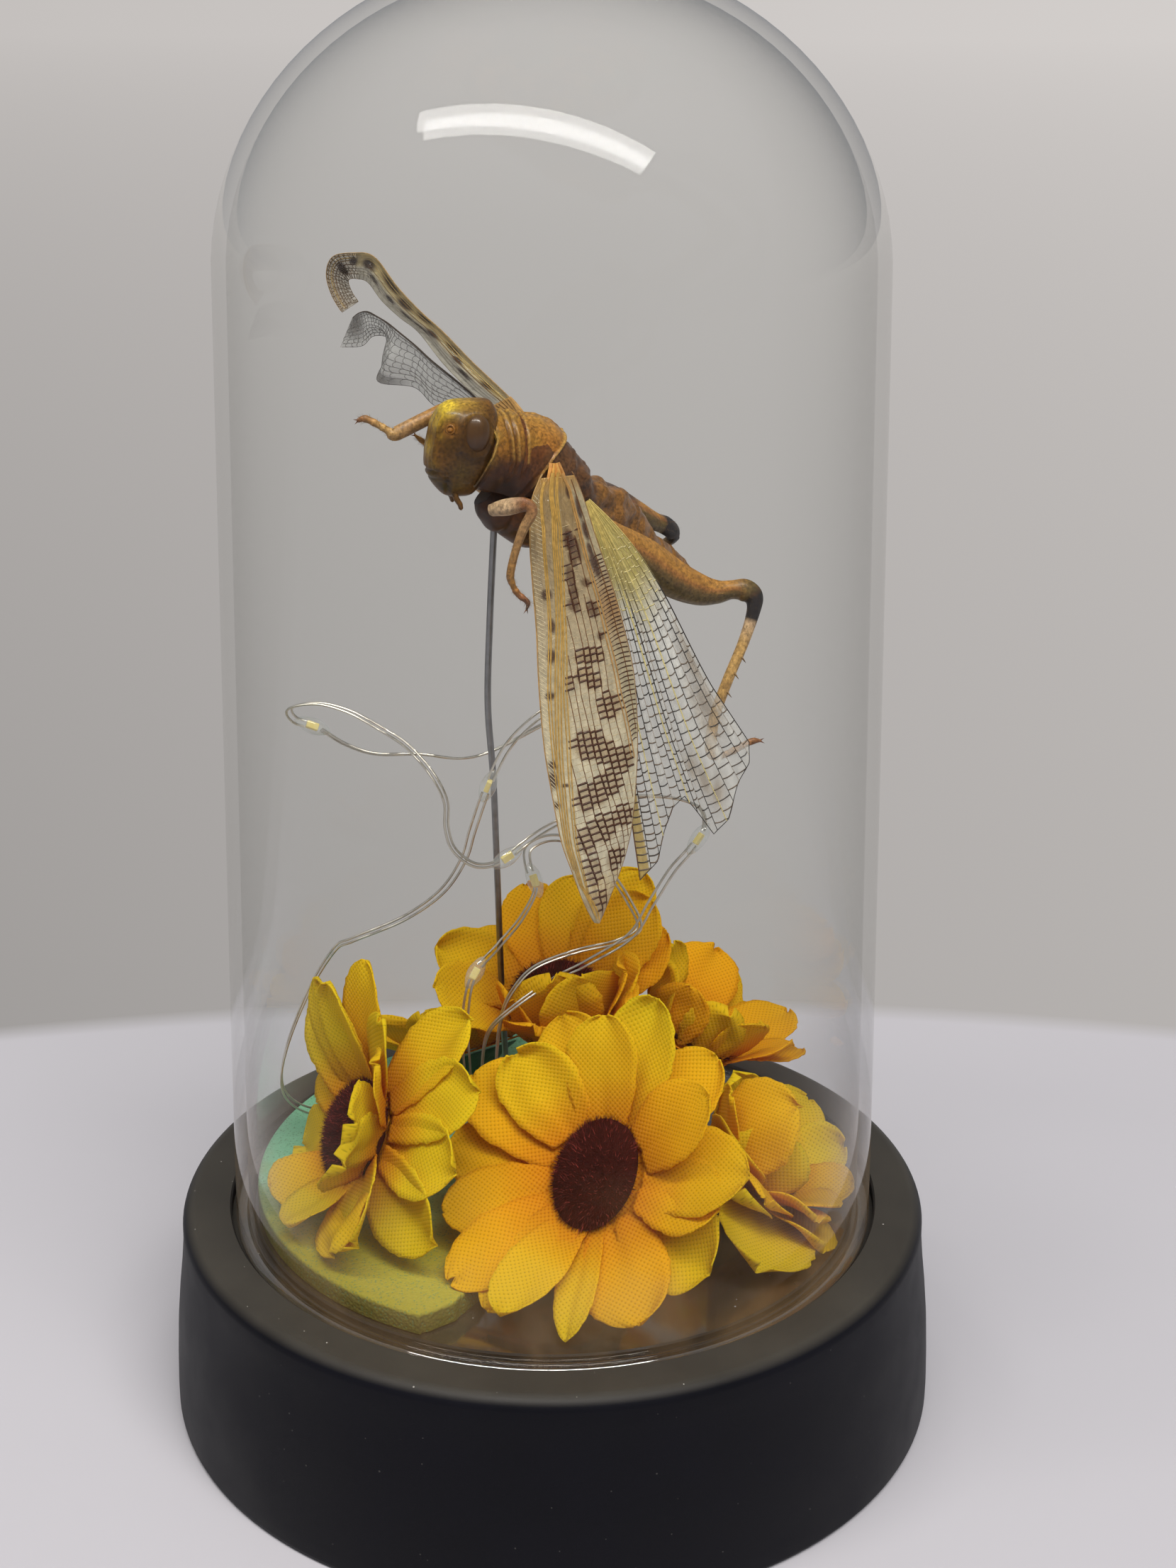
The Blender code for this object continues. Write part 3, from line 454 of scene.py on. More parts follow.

# %% [markdown]
# The dome is thin moulded glass.  Its wall is so thin that what stands behind is hardly shifted, so
# the finish lets light straight through and adds a mirror that is faint face-on and strong at
# grazing angles.  The two surfaces of the wall then show as the double bright line at each side.
# Towards its foot the glass shows warm hazy patches, a painted reflection of the flowers and the pale
# table laid on as a dull layer.  A refracting glass would bend all of the things inside twice, and it
# would need many more light bounces.

# %% Dome
FOOT, SPRING, SPRING_HEIGHT, TOP, WALL = 45.5, 42.3, 160.5, 198.7, 1.8
rise = TOP - SPRING_HEIGHT
foot_height = BASE_TOP - GROOVE_DEPTH + 0.3
straight = foot_height + 4.0  # where the leaning wall begins


def dome_side(shrink):
    """The round top and the leaning wall, as (radius, height), moved inwards by `shrink`."""
    points = [(0.0, SPRING_HEIGHT + rise - shrink)]
    for k in range(1, 25):
        a = pi / 2 * (1 - k / 24)
        points.append(((SPRING - shrink) * cos(a), SPRING_HEIGHT + (rise - shrink) * sin(a)))
    for k in range(1, 6):
        points.append((SPRING + (FOOT - SPRING) * k / 6 - shrink, SPRING_HEIGHT + (straight - SPRING_HEIGHT) * k / 6))
    return points + [(FOOT - 0.1 - shrink, straight)]


outside = dome_side(0.0) + arc((FOOT - 0.5, foot_height + 0.5), 0.5, 0, -90, 4)
inside = dome_side(WALL) + arc((FOOT - WALL + 0.5, foot_height + 0.5), 0.5, 180, 270, 4)
dome = spun("dome_glass", outside + inside[::-1], 192)
smooth(dome, 60)

# %% Clear glass
glass = Finish("dome_clear", Base_Color=(0.92, 0.92, 0.91, 1.0), Metallic=1.0, Roughness=0.015)
slope = glass.slope()
spot = glass.where()
height = glass.axis(spot, "Z")
shadow = glass.times(glass.power(slope, 2.5), glass.times(glass.axis(spot, "X"), 0.0012, 0.12))
clear = glass.node("BsdfTransparent", Color=glass.mix(shadow, (0.985, 0.988, 0.985), (0.0, 0.0, 0.0)))
foot_glow = glass.span(height, foot_height + 3.4, foot_height + 0.6)
faint = glass.span(height, 150.0, 172.0, 0.004, 0.011)
mirror = glass.times(glass.power(slope, 5.0), 0.96, faint)
mirror = glass.math("MAXIMUM", mirror, glass.times(foot_glow, 0.42))
cloud = glass.noise(spot, 0.085, 3.0)
# painted reflection: towards the foot a dull layer in warm patches stands for the flowers and the table mirrored in
# the glass
haze_and_reflection = glass.span(height, 58.0, foot_height + 3.4, 0.0, 0.068)
haze_and_reflection = glass.times(haze_and_reflection, glass.ramp(cloud, (0.4, 0.22), (0.6, 1.0)))
painted_flower_reflection = glass.node("BsdfDiffuse", Color=glass.mix(cloud, (0.95, 0.45, 0.04), (0.86, 0.64, 0.42)))
glass.show(glass.layers(haze_and_reflection, glass.layers(mirror, clear, glass.shader), painted_flower_reflection))
place(dome, glass, "clear_dome", "dome")

# %% [markdown]
# A thin slab of mint craft foam is glued to the base on the left, and it holds the stems and the
# wires.  It is torn and not cut, so its broken side is uneven and its skin is full of fine pores.

# %% Foam
FOAM_ARC, FOAM_ROUND, FOAM_LOW, FOAM_HIGH = (86.0, 246.0), 42.3, 30.6, 33.6
TORN = [(-12.8, -35.6), (-9.8, -31), (-7, -22), (9, -17), (17, -3), (15, 17), (7, 29)]
rim = [(FOAM_ROUND * cos(radians(a)), FOAM_ROUND * sin(radians(a)))
       for a in np.linspace(*FOAM_ARC, 60)]
corners = [rim[-1], *TORN, rim[0]]
torn = []
for (ax, ay), (bx, by) in zip(corners, corners[1:]):
    for k in range(1, 13):
        t = k / 12
        x, y = ax + (bx - ax) * t, ay + (by - ay) * t
        wobble = 1.1 * noise.noise(Vector((x * 0.35, y * 0.35, 2.0))) * sin(pi * t) ** 0.5
        torn.append((x - abs(wobble), y + wobble))
ring = rim + torn[:-1]
levels = [(FOAM_LOW, 1.0), (FOAM_LOW + 0.8, 1.0), (FOAM_HIGH - 0.6, 1.0), (FOAM_HIGH - 0.1, 0.994),
          (FOAM_HIGH, 0.985)]
middle = Vector((-14.0, 2.0))
points = [(middle.x + (x - middle.x) * share, middle.y + (y - middle.y) * share, height)
          for height, share in levels for x, y in ring]
foam = new_mesh("foam", points, grid_faces(len(levels), len(ring)) + end_faces(len(levels), len(ring)))
tidy_normals(foam)
smooth(foam, 50)

# %% Mint foam
sponge = Finish("mint_foam", Roughness=0.95, Specular_IOR_Level=0.15)
spot = sponge.where()
pores = sponge.cells(spot, 2.2)
cloud = sponge.noise(spot, 0.16, 3.0)
mint = sponge.mix(cloud, (0.13, 0.38, 0.22), (0.22, 0.47, 0.28))
# painted light: towards the front the mint is painted yellow-green, as if lit by light falling through the yellow
# petals
depth = sponge.plus(sponge.axis(spot, "Y"), sponge.times(cloud, 22.0))
mint = sponge.mix(sponge.span(depth, 14.0, -10.0), mint, (0.33, 0.3, 0.035))
# painted shade: faces that turn away from the top are painted much darker
up = sponge.axis(sponge.node("NewGeometry").outputs["Normal"], "Z")
mint = sponge.mix(sponge.ramp(up, (0.2, 0.75), (0.7, 0.0)), mint, (0.05, 0.05, 0.012))
# painted shade: the pores are painted a darker green
mint = sponge.mix(sponge.ramp(pores, (0.05, 1.0), (0.35, 0.0)), mint, (0.08, 0.2, 0.09))
sponge.look(Base_Color=mint, Normal=sponge.bump(pores, 0.6, 0.0003))
place(foam, sponge, "mint_foam", "foam_block")

# %% [markdown]
# One piece of grey wire, bent by hand, runs from the foam to the insect's underside.  A bevelled
# curve through a few places is the quickest way to a wire, and it then becomes a mesh.

# %% Stand
STAND = [
    (-7.6, -2.6, 128.3), (-8.3, -1.5, 115.2), (-8.7, 0, 103.3), (-8.1, 1.6, 91.7), (-7.7, 4.6, 73.4),
    (-7.4, 7.8, 58), (-7, 9.4, 46), (-6.6, 9.8, 33.9)]


def curve_point(a, b, c, d, t):
    """The place at share t from b to c on a smooth curve that also heeds a and d."""
    return 0.5 * (2 * b + (c - a) * t + (2 * a - 5 * b + 4 * c - d) * t * t + (3 * b - a - 3 * c + d) * t ** 3)


def smooth_line(points, step):
    """Points every `step` along a smooth curve through the given points, in millimetres."""
    pts = [Vector(p) for p in points]
    pad = [2 * pts[0] - pts[1], *pts, 2 * pts[-1] - pts[-2]]
    fine = [curve_point(*pad[i:i + 4], k / 24) for i in range(len(pts) - 1) for k in range(24)] + [pts[-1]]
    lengths = np.concatenate([[0.0], np.cumsum([(b - a).length for a, b in zip(fine, fine[1:])])])
    marks = np.linspace(0.0, lengths[-1], max(2, round(lengths[-1] / step)) + 1)
    columns = [np.interp(marks, lengths, [p[k] for p in fine]) for k in range(3)]
    return [Vector(p) for p in zip(*columns)]


def wire_piece(name, route, radius, sides=3):
    """A round wire along a route in millimetres: a bevelled curve turned into a mesh."""
    curve = bpy.data.curves.new(name, "CURVE")
    curve.dimensions = "3D"
    curve.bevel_depth = radius * MM
    curve.bevel_resolution = sides
    curve.use_fill_caps = True
    spline = curve.splines.new("POLY")
    spline.points.add(len(route) - 1)
    for point, spot in zip(spline.points, route):
        point.co = (*(Vector(spot) * MM), 1.0)
    wire = bpy.data.objects.new(name, curve)
    scene.collection.objects.link(wire)
    make_active(wire)
    bpy.ops.object.convert(target="MESH")
    wire = bpy.context.object
    tidy_normals(wire, 1e-6)
    smooth(wire, 60)
    return wire


stand = wire_piece("stand", smooth_line(STAND, 1.0), 0.45, 4)
steel = Finish("stand_steel", Metallic=1.0)
tone = steel.noise(steel.where(), 0.7, 3.0)
steel.look(Base_Color=steel.mix(tone, (0.16, 0.16, 0.16), (0.34, 0.34, 0.34)),
           Roughness=steel.times(tone, 0.3, 0.25))
place(stand, steel, "stand_steel", "stand_wire")

# %% [markdown]
# Three more helpers for the soft and grown pieces: colours and flat coordinates kept in the mesh,
# and a round skin that follows a line.

# %% Paint, flat coordinates and swept skins
def paint(piece, name, values):
    """Keep one number, or one colour, for each vertex of a mesh."""
    colours = piece.data.color_attributes.new(name, "FLOAT_COLOR", "POINT")
    flat = []
    for value in values:
        flat += [*value, 1.0] if isinstance(value, (tuple, list, Vector)) else [value, value, value, 1.0]
    colours.data.foreach_set("color", flat)


def lay_flat(piece, name, cloth):
    """A UV map from flat coordinates kept for each vertex."""
    layer = piece.data.uv_layers.new(name=name)
    for loop in piece.data.loops:
        layer.data[loop.index].uv = cloth[loop.vertex_index]


def swept(name, stations, ring_points, scale_of=None):
    """A skin through rings round a route; each station is (point, radius)."""
    centres, points = [Vector(p) for p, _ in stations], []
    for i, (centre, _, side, over) in enumerate(frames_along(centres)):
        radius = stations[i][1]
        for k in range(ring_points):
            a = 2 * pi * k / ring_points
            r = radius * (scale_of(i, k) if scale_of else 1.0)
            points.append(centre + side * r * cos(a) + over * r * sin(a))
    piece = new_mesh(name, points, grid_faces(len(centres), ring_points) + end_faces(len(centres), ring_points))
    tidy_normals(piece)
    return piece


# %% [markdown]
# ## The locust's body
#
# Head, neck shield and trunk are hard shells that slide over each other, so each is made as its own
# skin through a row of ovals and they are joined at the end.  Two small frames of reference, one
# along the body and one along the head, keep the numbers readable: how far along, how far out to
# the side and how far up.  Both sides of the animal are the same.

# %% Frames of the body and the head
def frame_matrix(origin, along, side):
    along, side = Vector(along).normalized(), Vector(side).normalized()
    return standing(origin, along, side, side.cross(along))


BODY = frame_matrix((-8.2, -5.2, 139.2), (0.858, 0.379, -0.346), (0.405, -0.915, 0.0))
HEAD = frame_matrix((-11.2, -6.9, 142.0), (-0.959, -0.283, 0.0), (0.283, -0.959, 0.0))
if (HEAD.to_3x3() @ UP).z < 0:
    HEAD = HEAD @ Matrix.Diagonal((1, 1, -1, 1))
INTO_BODY, INTO_HEAD = BODY.inverted(), HEAD.inverted()


def blend_rows(rows, count):
    """More rows between the given ones, on a smooth curve, as an array."""
    rows = np.array(rows, float)
    pad = np.vstack([2 * rows[0] - rows[1], rows, 2 * rows[-1] - rows[-2]])
    out = []
    for u in np.linspace(0, len(rows) - 1, count):
        k = min(int(u), len(rows) - 2)
        out.append(curve_point(*pad[k:k + 4], u - k))
    return np.array(out)


def bump_at(value, middle, width):
    return exp(-((value - middle) / width) ** 2)


def skin(name, rings, looped=True):
    """A closed skin through rings of points, or an open sheet through rows."""
    faces = grid_faces(len(rings), len(rings[0]), looped=looped)
    faces += end_faces(len(rings), len(rings[0])) if looped else []
    return new_mesh(name, [p for ring in rings for p in ring], faces)


def join(first, *others):
    make_active(first)
    for other in others:
        other.select_set(True)
    bpy.ops.object.join()
    return first

# %% [markdown]
# The head hangs straight down from the neck shield.  The rows below give, for each height, the
# front and rear reach and the half width; the front is flatter than the sides, with a ridge at each
# side of the face, a crease over the upper lip and one behind it.

# %% Head
HEAD_ROWS = [
    (3.95, 1.6, -2.6, 0.7), (3.7, 2.2, -3.4, 1.7), (3, 3.05, -3.9, 2.8), (2.2, 3.5, -4.2, 3.4),
    (1, 4.05, -4.4, 3.9), (-0.5, 4.4, -4.3, 4.15), (-2, 4.8, -4, 4.2), (-3.6, 5.05, -3.6, 4),
    (-4.9, 4.9, -3.1, 3.6), (-6, 4.4, -2.4, 3.1), (-7, 3.7, -1.7, 2.5), (-7.8, 2.9, -1, 1.7),
    (-8.2, 2.1, -0.2, 0.8)]
HEAD_RINGS, HEAD_SIDES = 90, 80
rings = []
for up, front, rear, half in blend_rows(HEAD_ROWS, HEAD_RINGS):
    ring = []
    for k in range(HEAD_SIDES):
        a = 2 * pi * k / HEAD_SIDES
        c, s = cos(a), sin(a)
        fore = abs(c) ** 0.85 * (front if c > 0 else -rear) * (1 if c > 0 else -1)
        side = copysign(abs(s) ** 0.8, s) * half
        width = abs(side)
        if c > 0:
            ridge = 0.2 * bump_at(width, 2.15 - 0.08 * up, 0.3) * (up > -4.3) * clamp(3.2 - up)
            middle = -0.12 * bump_at(width, 0.75, 0.35) * (up > -4.0)
            fore += ridge + middle
            lip = 0.3 * bump_at(up, -4.55, 0.22) + 0.16 * bump_at(up, -5.5, 0.18)
            fore -= lip * (width < 3.0)
        jaw = 0.32 * bump_at(fore, 2.75 + 0.1 * (up + 6), 0.24) * clamp((-4.3 - up) / 0.6)
        cheek = 0.2 * bump_at(fore, 0.7 + 0.28 * (up + 5.0), 0.22) * (-5.9 < up < -1.9)
        orbit = 0.22 * bump_at(hypot((fore + 0.75) / 2.15, (up - 0.15) / 2.75), 1.0, 0.16)
        hollow = 0.25 * bump_at(hypot(fore - 2.5, up - 0.9), 0.0, 0.75)
        side *= 1 - (jaw + cheek + hollow - orbit * (width > 2)) / max(half, 1.2) * (width > 0.5)
        ring.append(HEAD @ Vector((fore, side, up)))
    rings.append(ring)
head = skin("head", rings)
print("head:", len(rings), "rings")

# %% [markdown]
# The neck shield is a saddle over the front of the trunk.  Three furrows cross it, its front edge
# is a light bead, and its rear edge runs back to a blunt point over the wing bases.

# %% Neck shield
def shield_top(a):
    return read_off(a, (-3.4, 0, 2.5, 4.7, 7.0, 8.4, 9.6), (4.9, 5.15, 5.6, 5.95, 5.75, 5.3, 4.5))


def shield_half(a):
    return read_off(a, (-3.4, -1.5, 1, 4, 7, 9.6), (3.9, 4.5, 4.85, 5.0, 4.75, 4.3))


def shield_edges(up):
    """Where the shield starts and ends along the body, for each height."""
    front = read_off(up, (-4.8, -2.3, -0.3, 1.9, 3.5, 5.7), (-2.0, -1.6, -1.3, -1.2, -2.3, -3.2))
    rear = read_off(up, (-4.8, -3.9, -1.8, -0.2, 1.5, 2.9, 4.4, 5.6), (4.2, 4.9, 5.7, 6.2, 6.9, 7.8, 8.7, 9.2))
    return front, rear


FURROWS = [(1.3, 0.36, 0.2), (1.98, 0.28, 0.24), (3.25, 0.2, 0.3)]  # place, lean and depth
SHIELD_ROWS, SHIELD_HALF, OPENING = 100, 44, radians(128)
shield_rings = []
for i in range(SHIELD_ROWS):
    u = i / (SHIELD_ROWS - 1)
    ring = []
    for k in range(-SHIELD_HALF, SHIELD_HALF + 1):
        theta = OPENING * k / SHIELD_HALF
        tall = cos(theta) * (5.6 if abs(theta) < pi / 2 else 7.4)
        front, rear = shield_edges(tall)
        a = front + (rear - front) * u
        half, top = shield_half(a), shield_top(a)
        side = half * copysign(abs(sin(theta)) ** 0.9, theta)
        up = top * cos(theta) if abs(theta) < pi / 2 else 7.4 * cos(theta)
        fade = clamp((up + 1.8) / 1.2)
        out = 0.0
        for start, lean, deep in FURROWS:
            out -= deep * bump_at(a, start - lean * max(up, -0.5), 0.17) * fade
            out += 0.1 * bump_at(a, start - lean * max(up, -0.5) + 0.42, 0.24) * fade
        out += 0.26 * bump_at(a, front + 0.12, 0.2) - 0.14 * bump_at(a, front + 0.62, 0.22)
        out += 0.16 * bump_at(a, rear - 0.1, 0.22) - 0.1 * bump_at(a, rear - 0.65, 0.3)
        out += 0.22 * bump_at(side, 0.0, 0.28)
        out += 0.16 * noise.noise(Vector((a * 0.5, up * 0.5, side * 0.3)))
        out += 0.035 * noise.noise(Vector((a * 3.2, up * 3.2, side * 2.0))) * (a > 3.4)
        length = max(hypot(side, up), 1e-6)
        ring.append(BODY @ Vector((a, side * (1 + out / length), up * (1 + out / length))))
    shield_rings.append(ring)
shield = skin("neck_shield", shield_rings, looped=False)
modify(shield, "SOLIDIFY", thickness=0.35 * MM, offset=-1.0)
print("neck shield:", len(shield_rings), "rows")

# %% [markdown]
# Under the shield the trunk narrows into the ringed abdomen, which is hidden by the wings from the
# front.  The chest plate below it carries the legs.  Both are dark and dull, with soft lumps where
# the wing muscles were.

# %% Trunk and chest
TRUNK = [
    (-10.4, -6, 140.4, 3.2, 3.9), (-7.9, -5.2, 139, 4.2, 5), (-3.4, -3.5, 137.5, 4.6, 5.2),
    (0, -1.4, 135.2, 4.3, 4), (2.4, 1, 132, 4.1, 3.3), (5.8, 5, 129, 3.9, 3.7), (9, 9.5, 125.2, 3.6, 3.8),
    (12, 13, 121.3, 3, 3), (14.9, 16.5, 118.9, 2.4, 2.5), (17.2, 18.9, 117.1, 1.7, 1.8),
    (18.9, 20.8, 115.9, 0.7, 0.8)]
CHEST = [
    (-8.6, -5.6, 133.6, 1.6, 1.8), (-7.5, -5.2, 132.4, 2.6, 2.9), (-6.2, -4.6, 131.6, 3.1, 3.4),
    (-2.5, -2.4, 129.8, 3.8, 4.2), (1.6, 0.4, 128.4, 3.6, 3.7), (5, 3.6, 126.9, 2.6, 2.6), (7, 5.8, 126, 1.2, 1.2)]


def oval_skin(name, rows, count, steps, relief):
    """A skin of ovals through (x, y, z, half width, half height); relief gives the outward shift."""
    table = blend_rows(rows, steps)
    centres = [Vector(row[:3]) for row in table]
    rings = []
    for i, (centre, row) in enumerate(zip(centres, table)):
        way = heading(centres, i).normalized()
        side = way.cross(UP).normalized()
        top = side.cross(way)
        ring = []
        for k in range(count):
            a = 2 * pi * k / count
            grow = relief(i / (steps - 1), a)
            ring.append(centre + side * (row[3] + grow) * cos(a) + top * (row[4] + grow) * sin(a))
        rings.append(ring)
    return skin(name, rings)


def trunk_relief(share, angle):
    segment = max(0.0, share - 0.42) * 13.0
    lapped = -0.28 * (segment % 1.0) ** 3 if share > 0.42 else 0.0
    muscles = 0.95 * noise.noise(Vector((share * 24, cos(angle) * 1.6, sin(angle) * 1.6)))
    muscles += 0.35 * noise.noise(Vector((share * 70, cos(angle) * 4, sin(angle) * 4)))
    return lapped + muscles * (1.0 if 0.28 < share < 0.6 else 0.25)


def chest_relief(share, angle):
    seam = -0.3 * sum(bump_at(share, spot, 0.018) for spot in (0.34, 0.52, 0.7))
    return seam + 0.25 * noise.noise(Vector((share * 9, cos(angle) * 2, sin(angle) * 2)))


trunk = oval_skin("trunk", TRUNK, 48, 130, trunk_relief)
chest = oval_skin("chest", CHEST, 40, 70, chest_relief)

# %% [markdown]
# Small parts of the head: the ring that an antenna once stood in, with a bead in its middle, and
# the palps beside the mouth.  The dry specimen has lost both antennae, so only the rings are left.

# %% Sockets and palps
def ring_bump(name, spot, facing, radius, tube):
    bpy.ops.mesh.primitive_torus_add(major_radius=radius * MM, minor_radius=tube * MM, major_segments=28,
                                     minor_segments=10)
    piece = bpy.context.object
    piece.name = name
    piece.data.transform(Matrix.Translation(Vector(spot) * MM)
                         @ Vector(facing).to_track_quat("Z", "Y").to_matrix().to_4x4())
    return piece


def ball(name, spot, sizes, turn=None):
    bpy.ops.mesh.primitive_uv_sphere_add(segments=40, ring_count=24, radius=MM)
    piece = bpy.context.object
    piece.name = name
    matrix = Matrix.Translation(Vector(spot) * MM) @ (turn.to_4x4() if turn else Matrix.Identity(4))
    piece.data.transform(matrix @ Matrix.Diagonal((*sizes, 1.0)))
    return piece


details = []
for sign in (1, -1):
    socket = HEAD @ Vector((2.45, sign * 3.28, 0.9))
    out = HEAD.to_3x3() @ Vector((0.62, sign * 0.78, 0.1))
    details.append(ring_bump(f"socket_ring_{sign}", socket, out, 0.52, 0.16))
    details.append(ball(f"socket_bead_{sign}", socket + 0.05 * out, (0.36, 0.36, 0.3)))
    palp = [(HEAD @ Vector((1.7, sign * 1.5, -7.4)), 0.42), (HEAD @ Vector((1.5, sign * 1.9, -8.2)), 0.38),
            (HEAD @ Vector((1.1, sign * 2.2, -8.9)), 0.34), (HEAD @ Vector((1.0, sign * 2.2, -9.4)), 0.3),
            (HEAD @ Vector((1.0, sign * 2.2, -9.6)), 0.14)]
    details.append(swept(f"palp_{sign}", palp, 10))

# %% [markdown]
# The colour of the dry shell is laid on by place: an olive yellow face, darker cheeks, an ochre
# shield with light edges, and a nearly black underside.  Each dab is a soft spot of colour at a
# place in the body's or the head's own frame, and the same on both sides.

# %% Colours of the shell
SHELL, DARK_SHELL = (0.285, 0.14, 0.02), (0.03, 0.01, 0.003)
HEAD_DABS = [  # forward, side, up, radius, strength, colour
    (2.2, 1, 3.4, 1.6, 0.95, (0.74, 0.62, 0.05)), (4.1, 1.2, 1.6, 1.1, 0.8, (0.56, 0.42, 0.03)),
    (4.8, 0.6, -1.6, 1.2, 0.8, (0.44, 0.32, 0.024)), (-0.2, 1.4, 3.7, 1.6, 0.7, (0.4, 0.28, 0.045)),
    (4.4, 2, -3.6, 0.9, 0.6, (0.2, 0.14, 0.015)), (2.3, 3.4, -0.6, 1.5, 0.85, (0.07, 0.04, 0.005)),
    (0.5, 4.1, -2.6, 2.1, 0.9, (0.06, 0.032, 0.004)), (1.2, 3.6, -4.6, 1.5, 0.8, (0.105, 0.07, 0.009)),
    (-0.9, 4.2, 0, 3, 0.8, (0.055, 0.026, 0.004)), (-2.2, 3.8, -2.6, 1.6, 0.85, (0.06, 0.03, 0.005)),
    (3.9, 1.2, -5.2, 1, 0.8, (0.1, 0.085, 0.018)), (2.9, 1.8, -6.4, 1, 0.85, (0.05, 0.042, 0.012)),
    (1.4, 2.4, -6.3, 0.9, 0.7, (0.15, 0.115, 0.035)), (2.8, 2.6, -5.8, 0.35, 0.95, (0.008, 0.006, 0.004)),
    (2.75, 2.4, -6.8, 0.35, 0.95, (0.008, 0.006, 0.004)), (2.5, 3.3, 0.9, 0.75, 0.8, (0.36, 0.17, 0.03)),
    (3.4, 2.6, -0.1, 0.5, 0.5, (0.3, 0.2, 0.02)), (-0.8, 3.6, 3.1, 1.2, 0.8, (0.22, 0.14, 0.03)),
    (-3.4, 3.4, 0.4, 1.5, 0.7, (0.12, 0.065, 0.01))]
BODY_DABS = [  # along, side, up, radius, strength, colour
    (0, 1, 5.4, 2.6, 0.7, (0.3, 0.2, 0.035)), (4.6, 1, 6, 2.6, 0.75, (0.4, 0.245, 0.055)),
    (7.2, 2, 5.2, 1.8, 0.7, (0.38, 0.215, 0.055)), (5.6, 4.4, 2.4, 2.2, 0.7, (0.34, 0.155, 0.03)),
    (1.4, 4.6, 2.6, 2.2, 0.6, (0.2, 0.105, 0.016)), (4, 4.8, 2.9, 1.4, 0.5, (0.33, 0.2, 0.03)),
    (3.2, 4.8, -0.6, 1.9, 0.85, (0.06, 0.02, 0.006)), (0.6, 4.8, -1.8, 2.2, 0.85, (0.045, 0.016, 0.005)),
    (4.2, 4.6, -2.6, 2.2, 0.85, (0.06, 0.02, 0.006)), (2, 4.4, -4.2, 2.4, 0.9, (0.026, 0.01, 0.004)),
    (6.6, 4.4, 0.6, 1.2, 0.7, (0.22, 0.085, 0.018)), (-1.4, 4.4, 2.6, 0.8, 0.6, (0.34, 0.25, 0.05)),
    (-1.3, 4.6, -0.8, 0.8, 0.6, (0.2, 0.13, 0.025))]

# %% Laying the colours on
def blend_dabs(colour, spot, dabs):
    for a, b, c, radius, strength, tint in dabs:
        near = exp(-((spot.x - a) ** 2 + (abs(spot.y) - b) ** 2 + (spot.z - c) ** 2) / radius ** 2)
        colour = blend(colour, tint, min(1.0, strength * 1.25 * near))
    return colour


def shell_colours(piece, kind):
    colours = []
    for vertex in piece.data.vertices:
        spot = vertex.co / MM
        own = INTO_HEAD @ spot if kind == "head" else INTO_BODY @ spot
        if kind == "head":
            colour = blend_dabs(Vector((0.125, 0.062, 0.01)), own, HEAD_DABS)
        elif kind == "shield":
            colour = blend_dabs(blend(SHELL, DARK_SHELL, clamp((0.5 - own.z) / 4)), own, BODY_DABS)
            front, rear = shield_edges(own.z)
            edge = max(bump_at(own.x, front + 0.1, 0.28), bump_at(own.x, rear, 0.3) * (own.z > -2.5))
            colour = blend(colour, (0.46, 0.34, 0.1), 0.75 * edge * min(1, max(0.15, (own.z + 3) / 4)))
            for start, lean, _ in FURROWS:
                # painted shade: each furrow is painted dark
                painted_furrow_shade = bump_at(own.x, start - lean * max(own.z, -0.5), 0.16) * (own.z > -2)
                colour = blend(colour, (0.07, 0.028, 0.006), 0.6 * painted_furrow_shade)
                # painted highlight: a light line along the rib just behind each furrow
                rib = bump_at(own.x, start - lean * max(own.z, -0.5) + 0.35, 0.14) * (own.z > 0)
                colour = blend(colour, (0.44, 0.3, 0.08), 0.45 * rib)
        elif kind == "trunk":
            dark = clamp((own.x - 5.0) / 2.0) * clamp((20 - own.x) / 4.0)
            colour = blend((0.11, 0.042, 0.01), (0.12, 0.062, 0.026), dark)
            if own.x > 16:
                colour = blend(colour, (0.24, 0.13, 0.035), 0.8)
            colour *= 1 + 0.45 * noise.noise(spot * 0.9)
        else:
            colour = blend((0.055, 0.02, 0.006), (0.13, 0.055, 0.014), clamp((own.x - 3) / 6))
            colour *= 1 + 0.4 * noise.noise(spot * 0.7)
        colours.append(colour * (1 + 0.22 * noise.noise(spot * 1.7)))
    paint(piece, "shell", colours)


for piece, kind in ((head, "head"), (shield, "shield"), (trunk, "trunk"), (chest, "chest"),
                    *((detail, "head") for detail in details)):
    tidy_normals(piece)
    shell_colours(piece, kind)
    smooth(piece, 50)
    if piece.data.uv_layers:
        piece.data.uv_layers.remove(piece.data.uv_layers[0])

# %% Shell
shell = Finish("shell_ochre", Specular_IOR_Level=0.25, Coat_Weight=0.15, Coat_Roughness=0.16)
spot = shell.where()
dots = shell.cells(spot, 3.4)
fine = shell.noise(spot, 2.6, 5.0, 0.6)
stain = shell.noise(spot, 0.8, 4.0)
tone = shell.dim(shell.colour_of("shell"), shell.ramp(fine, (0.34, 0.42), (0.62, 1.15)))
tone = shell.dim(tone, (0.84, 0.7, 0.6))
tone = shell.mix(shell.ramp(stain, (0.55, 0.0), (0.75, 0.35)), tone, (0.1, 0.045, 0.012))
relief = shell.plus(shell.times(fine, 0.7), shell.ramp(dots, (0.0, 0.6), (0.35, 1.0)))
shell.look(Base_Color=tone, Roughness=shell.times(fine, 0.3, 0.24), Normal=shell.bump(relief, 0.3, 0.00012))
locust = join(shield, head, trunk, chest, *details)
locust.name = "locust_shell"
place(locust, shell, "shell_ochre", "locust_body")

# %% [markdown]
# The compound eyes are upright ovals, smooth and glossy, dark brown with a redder lower half.

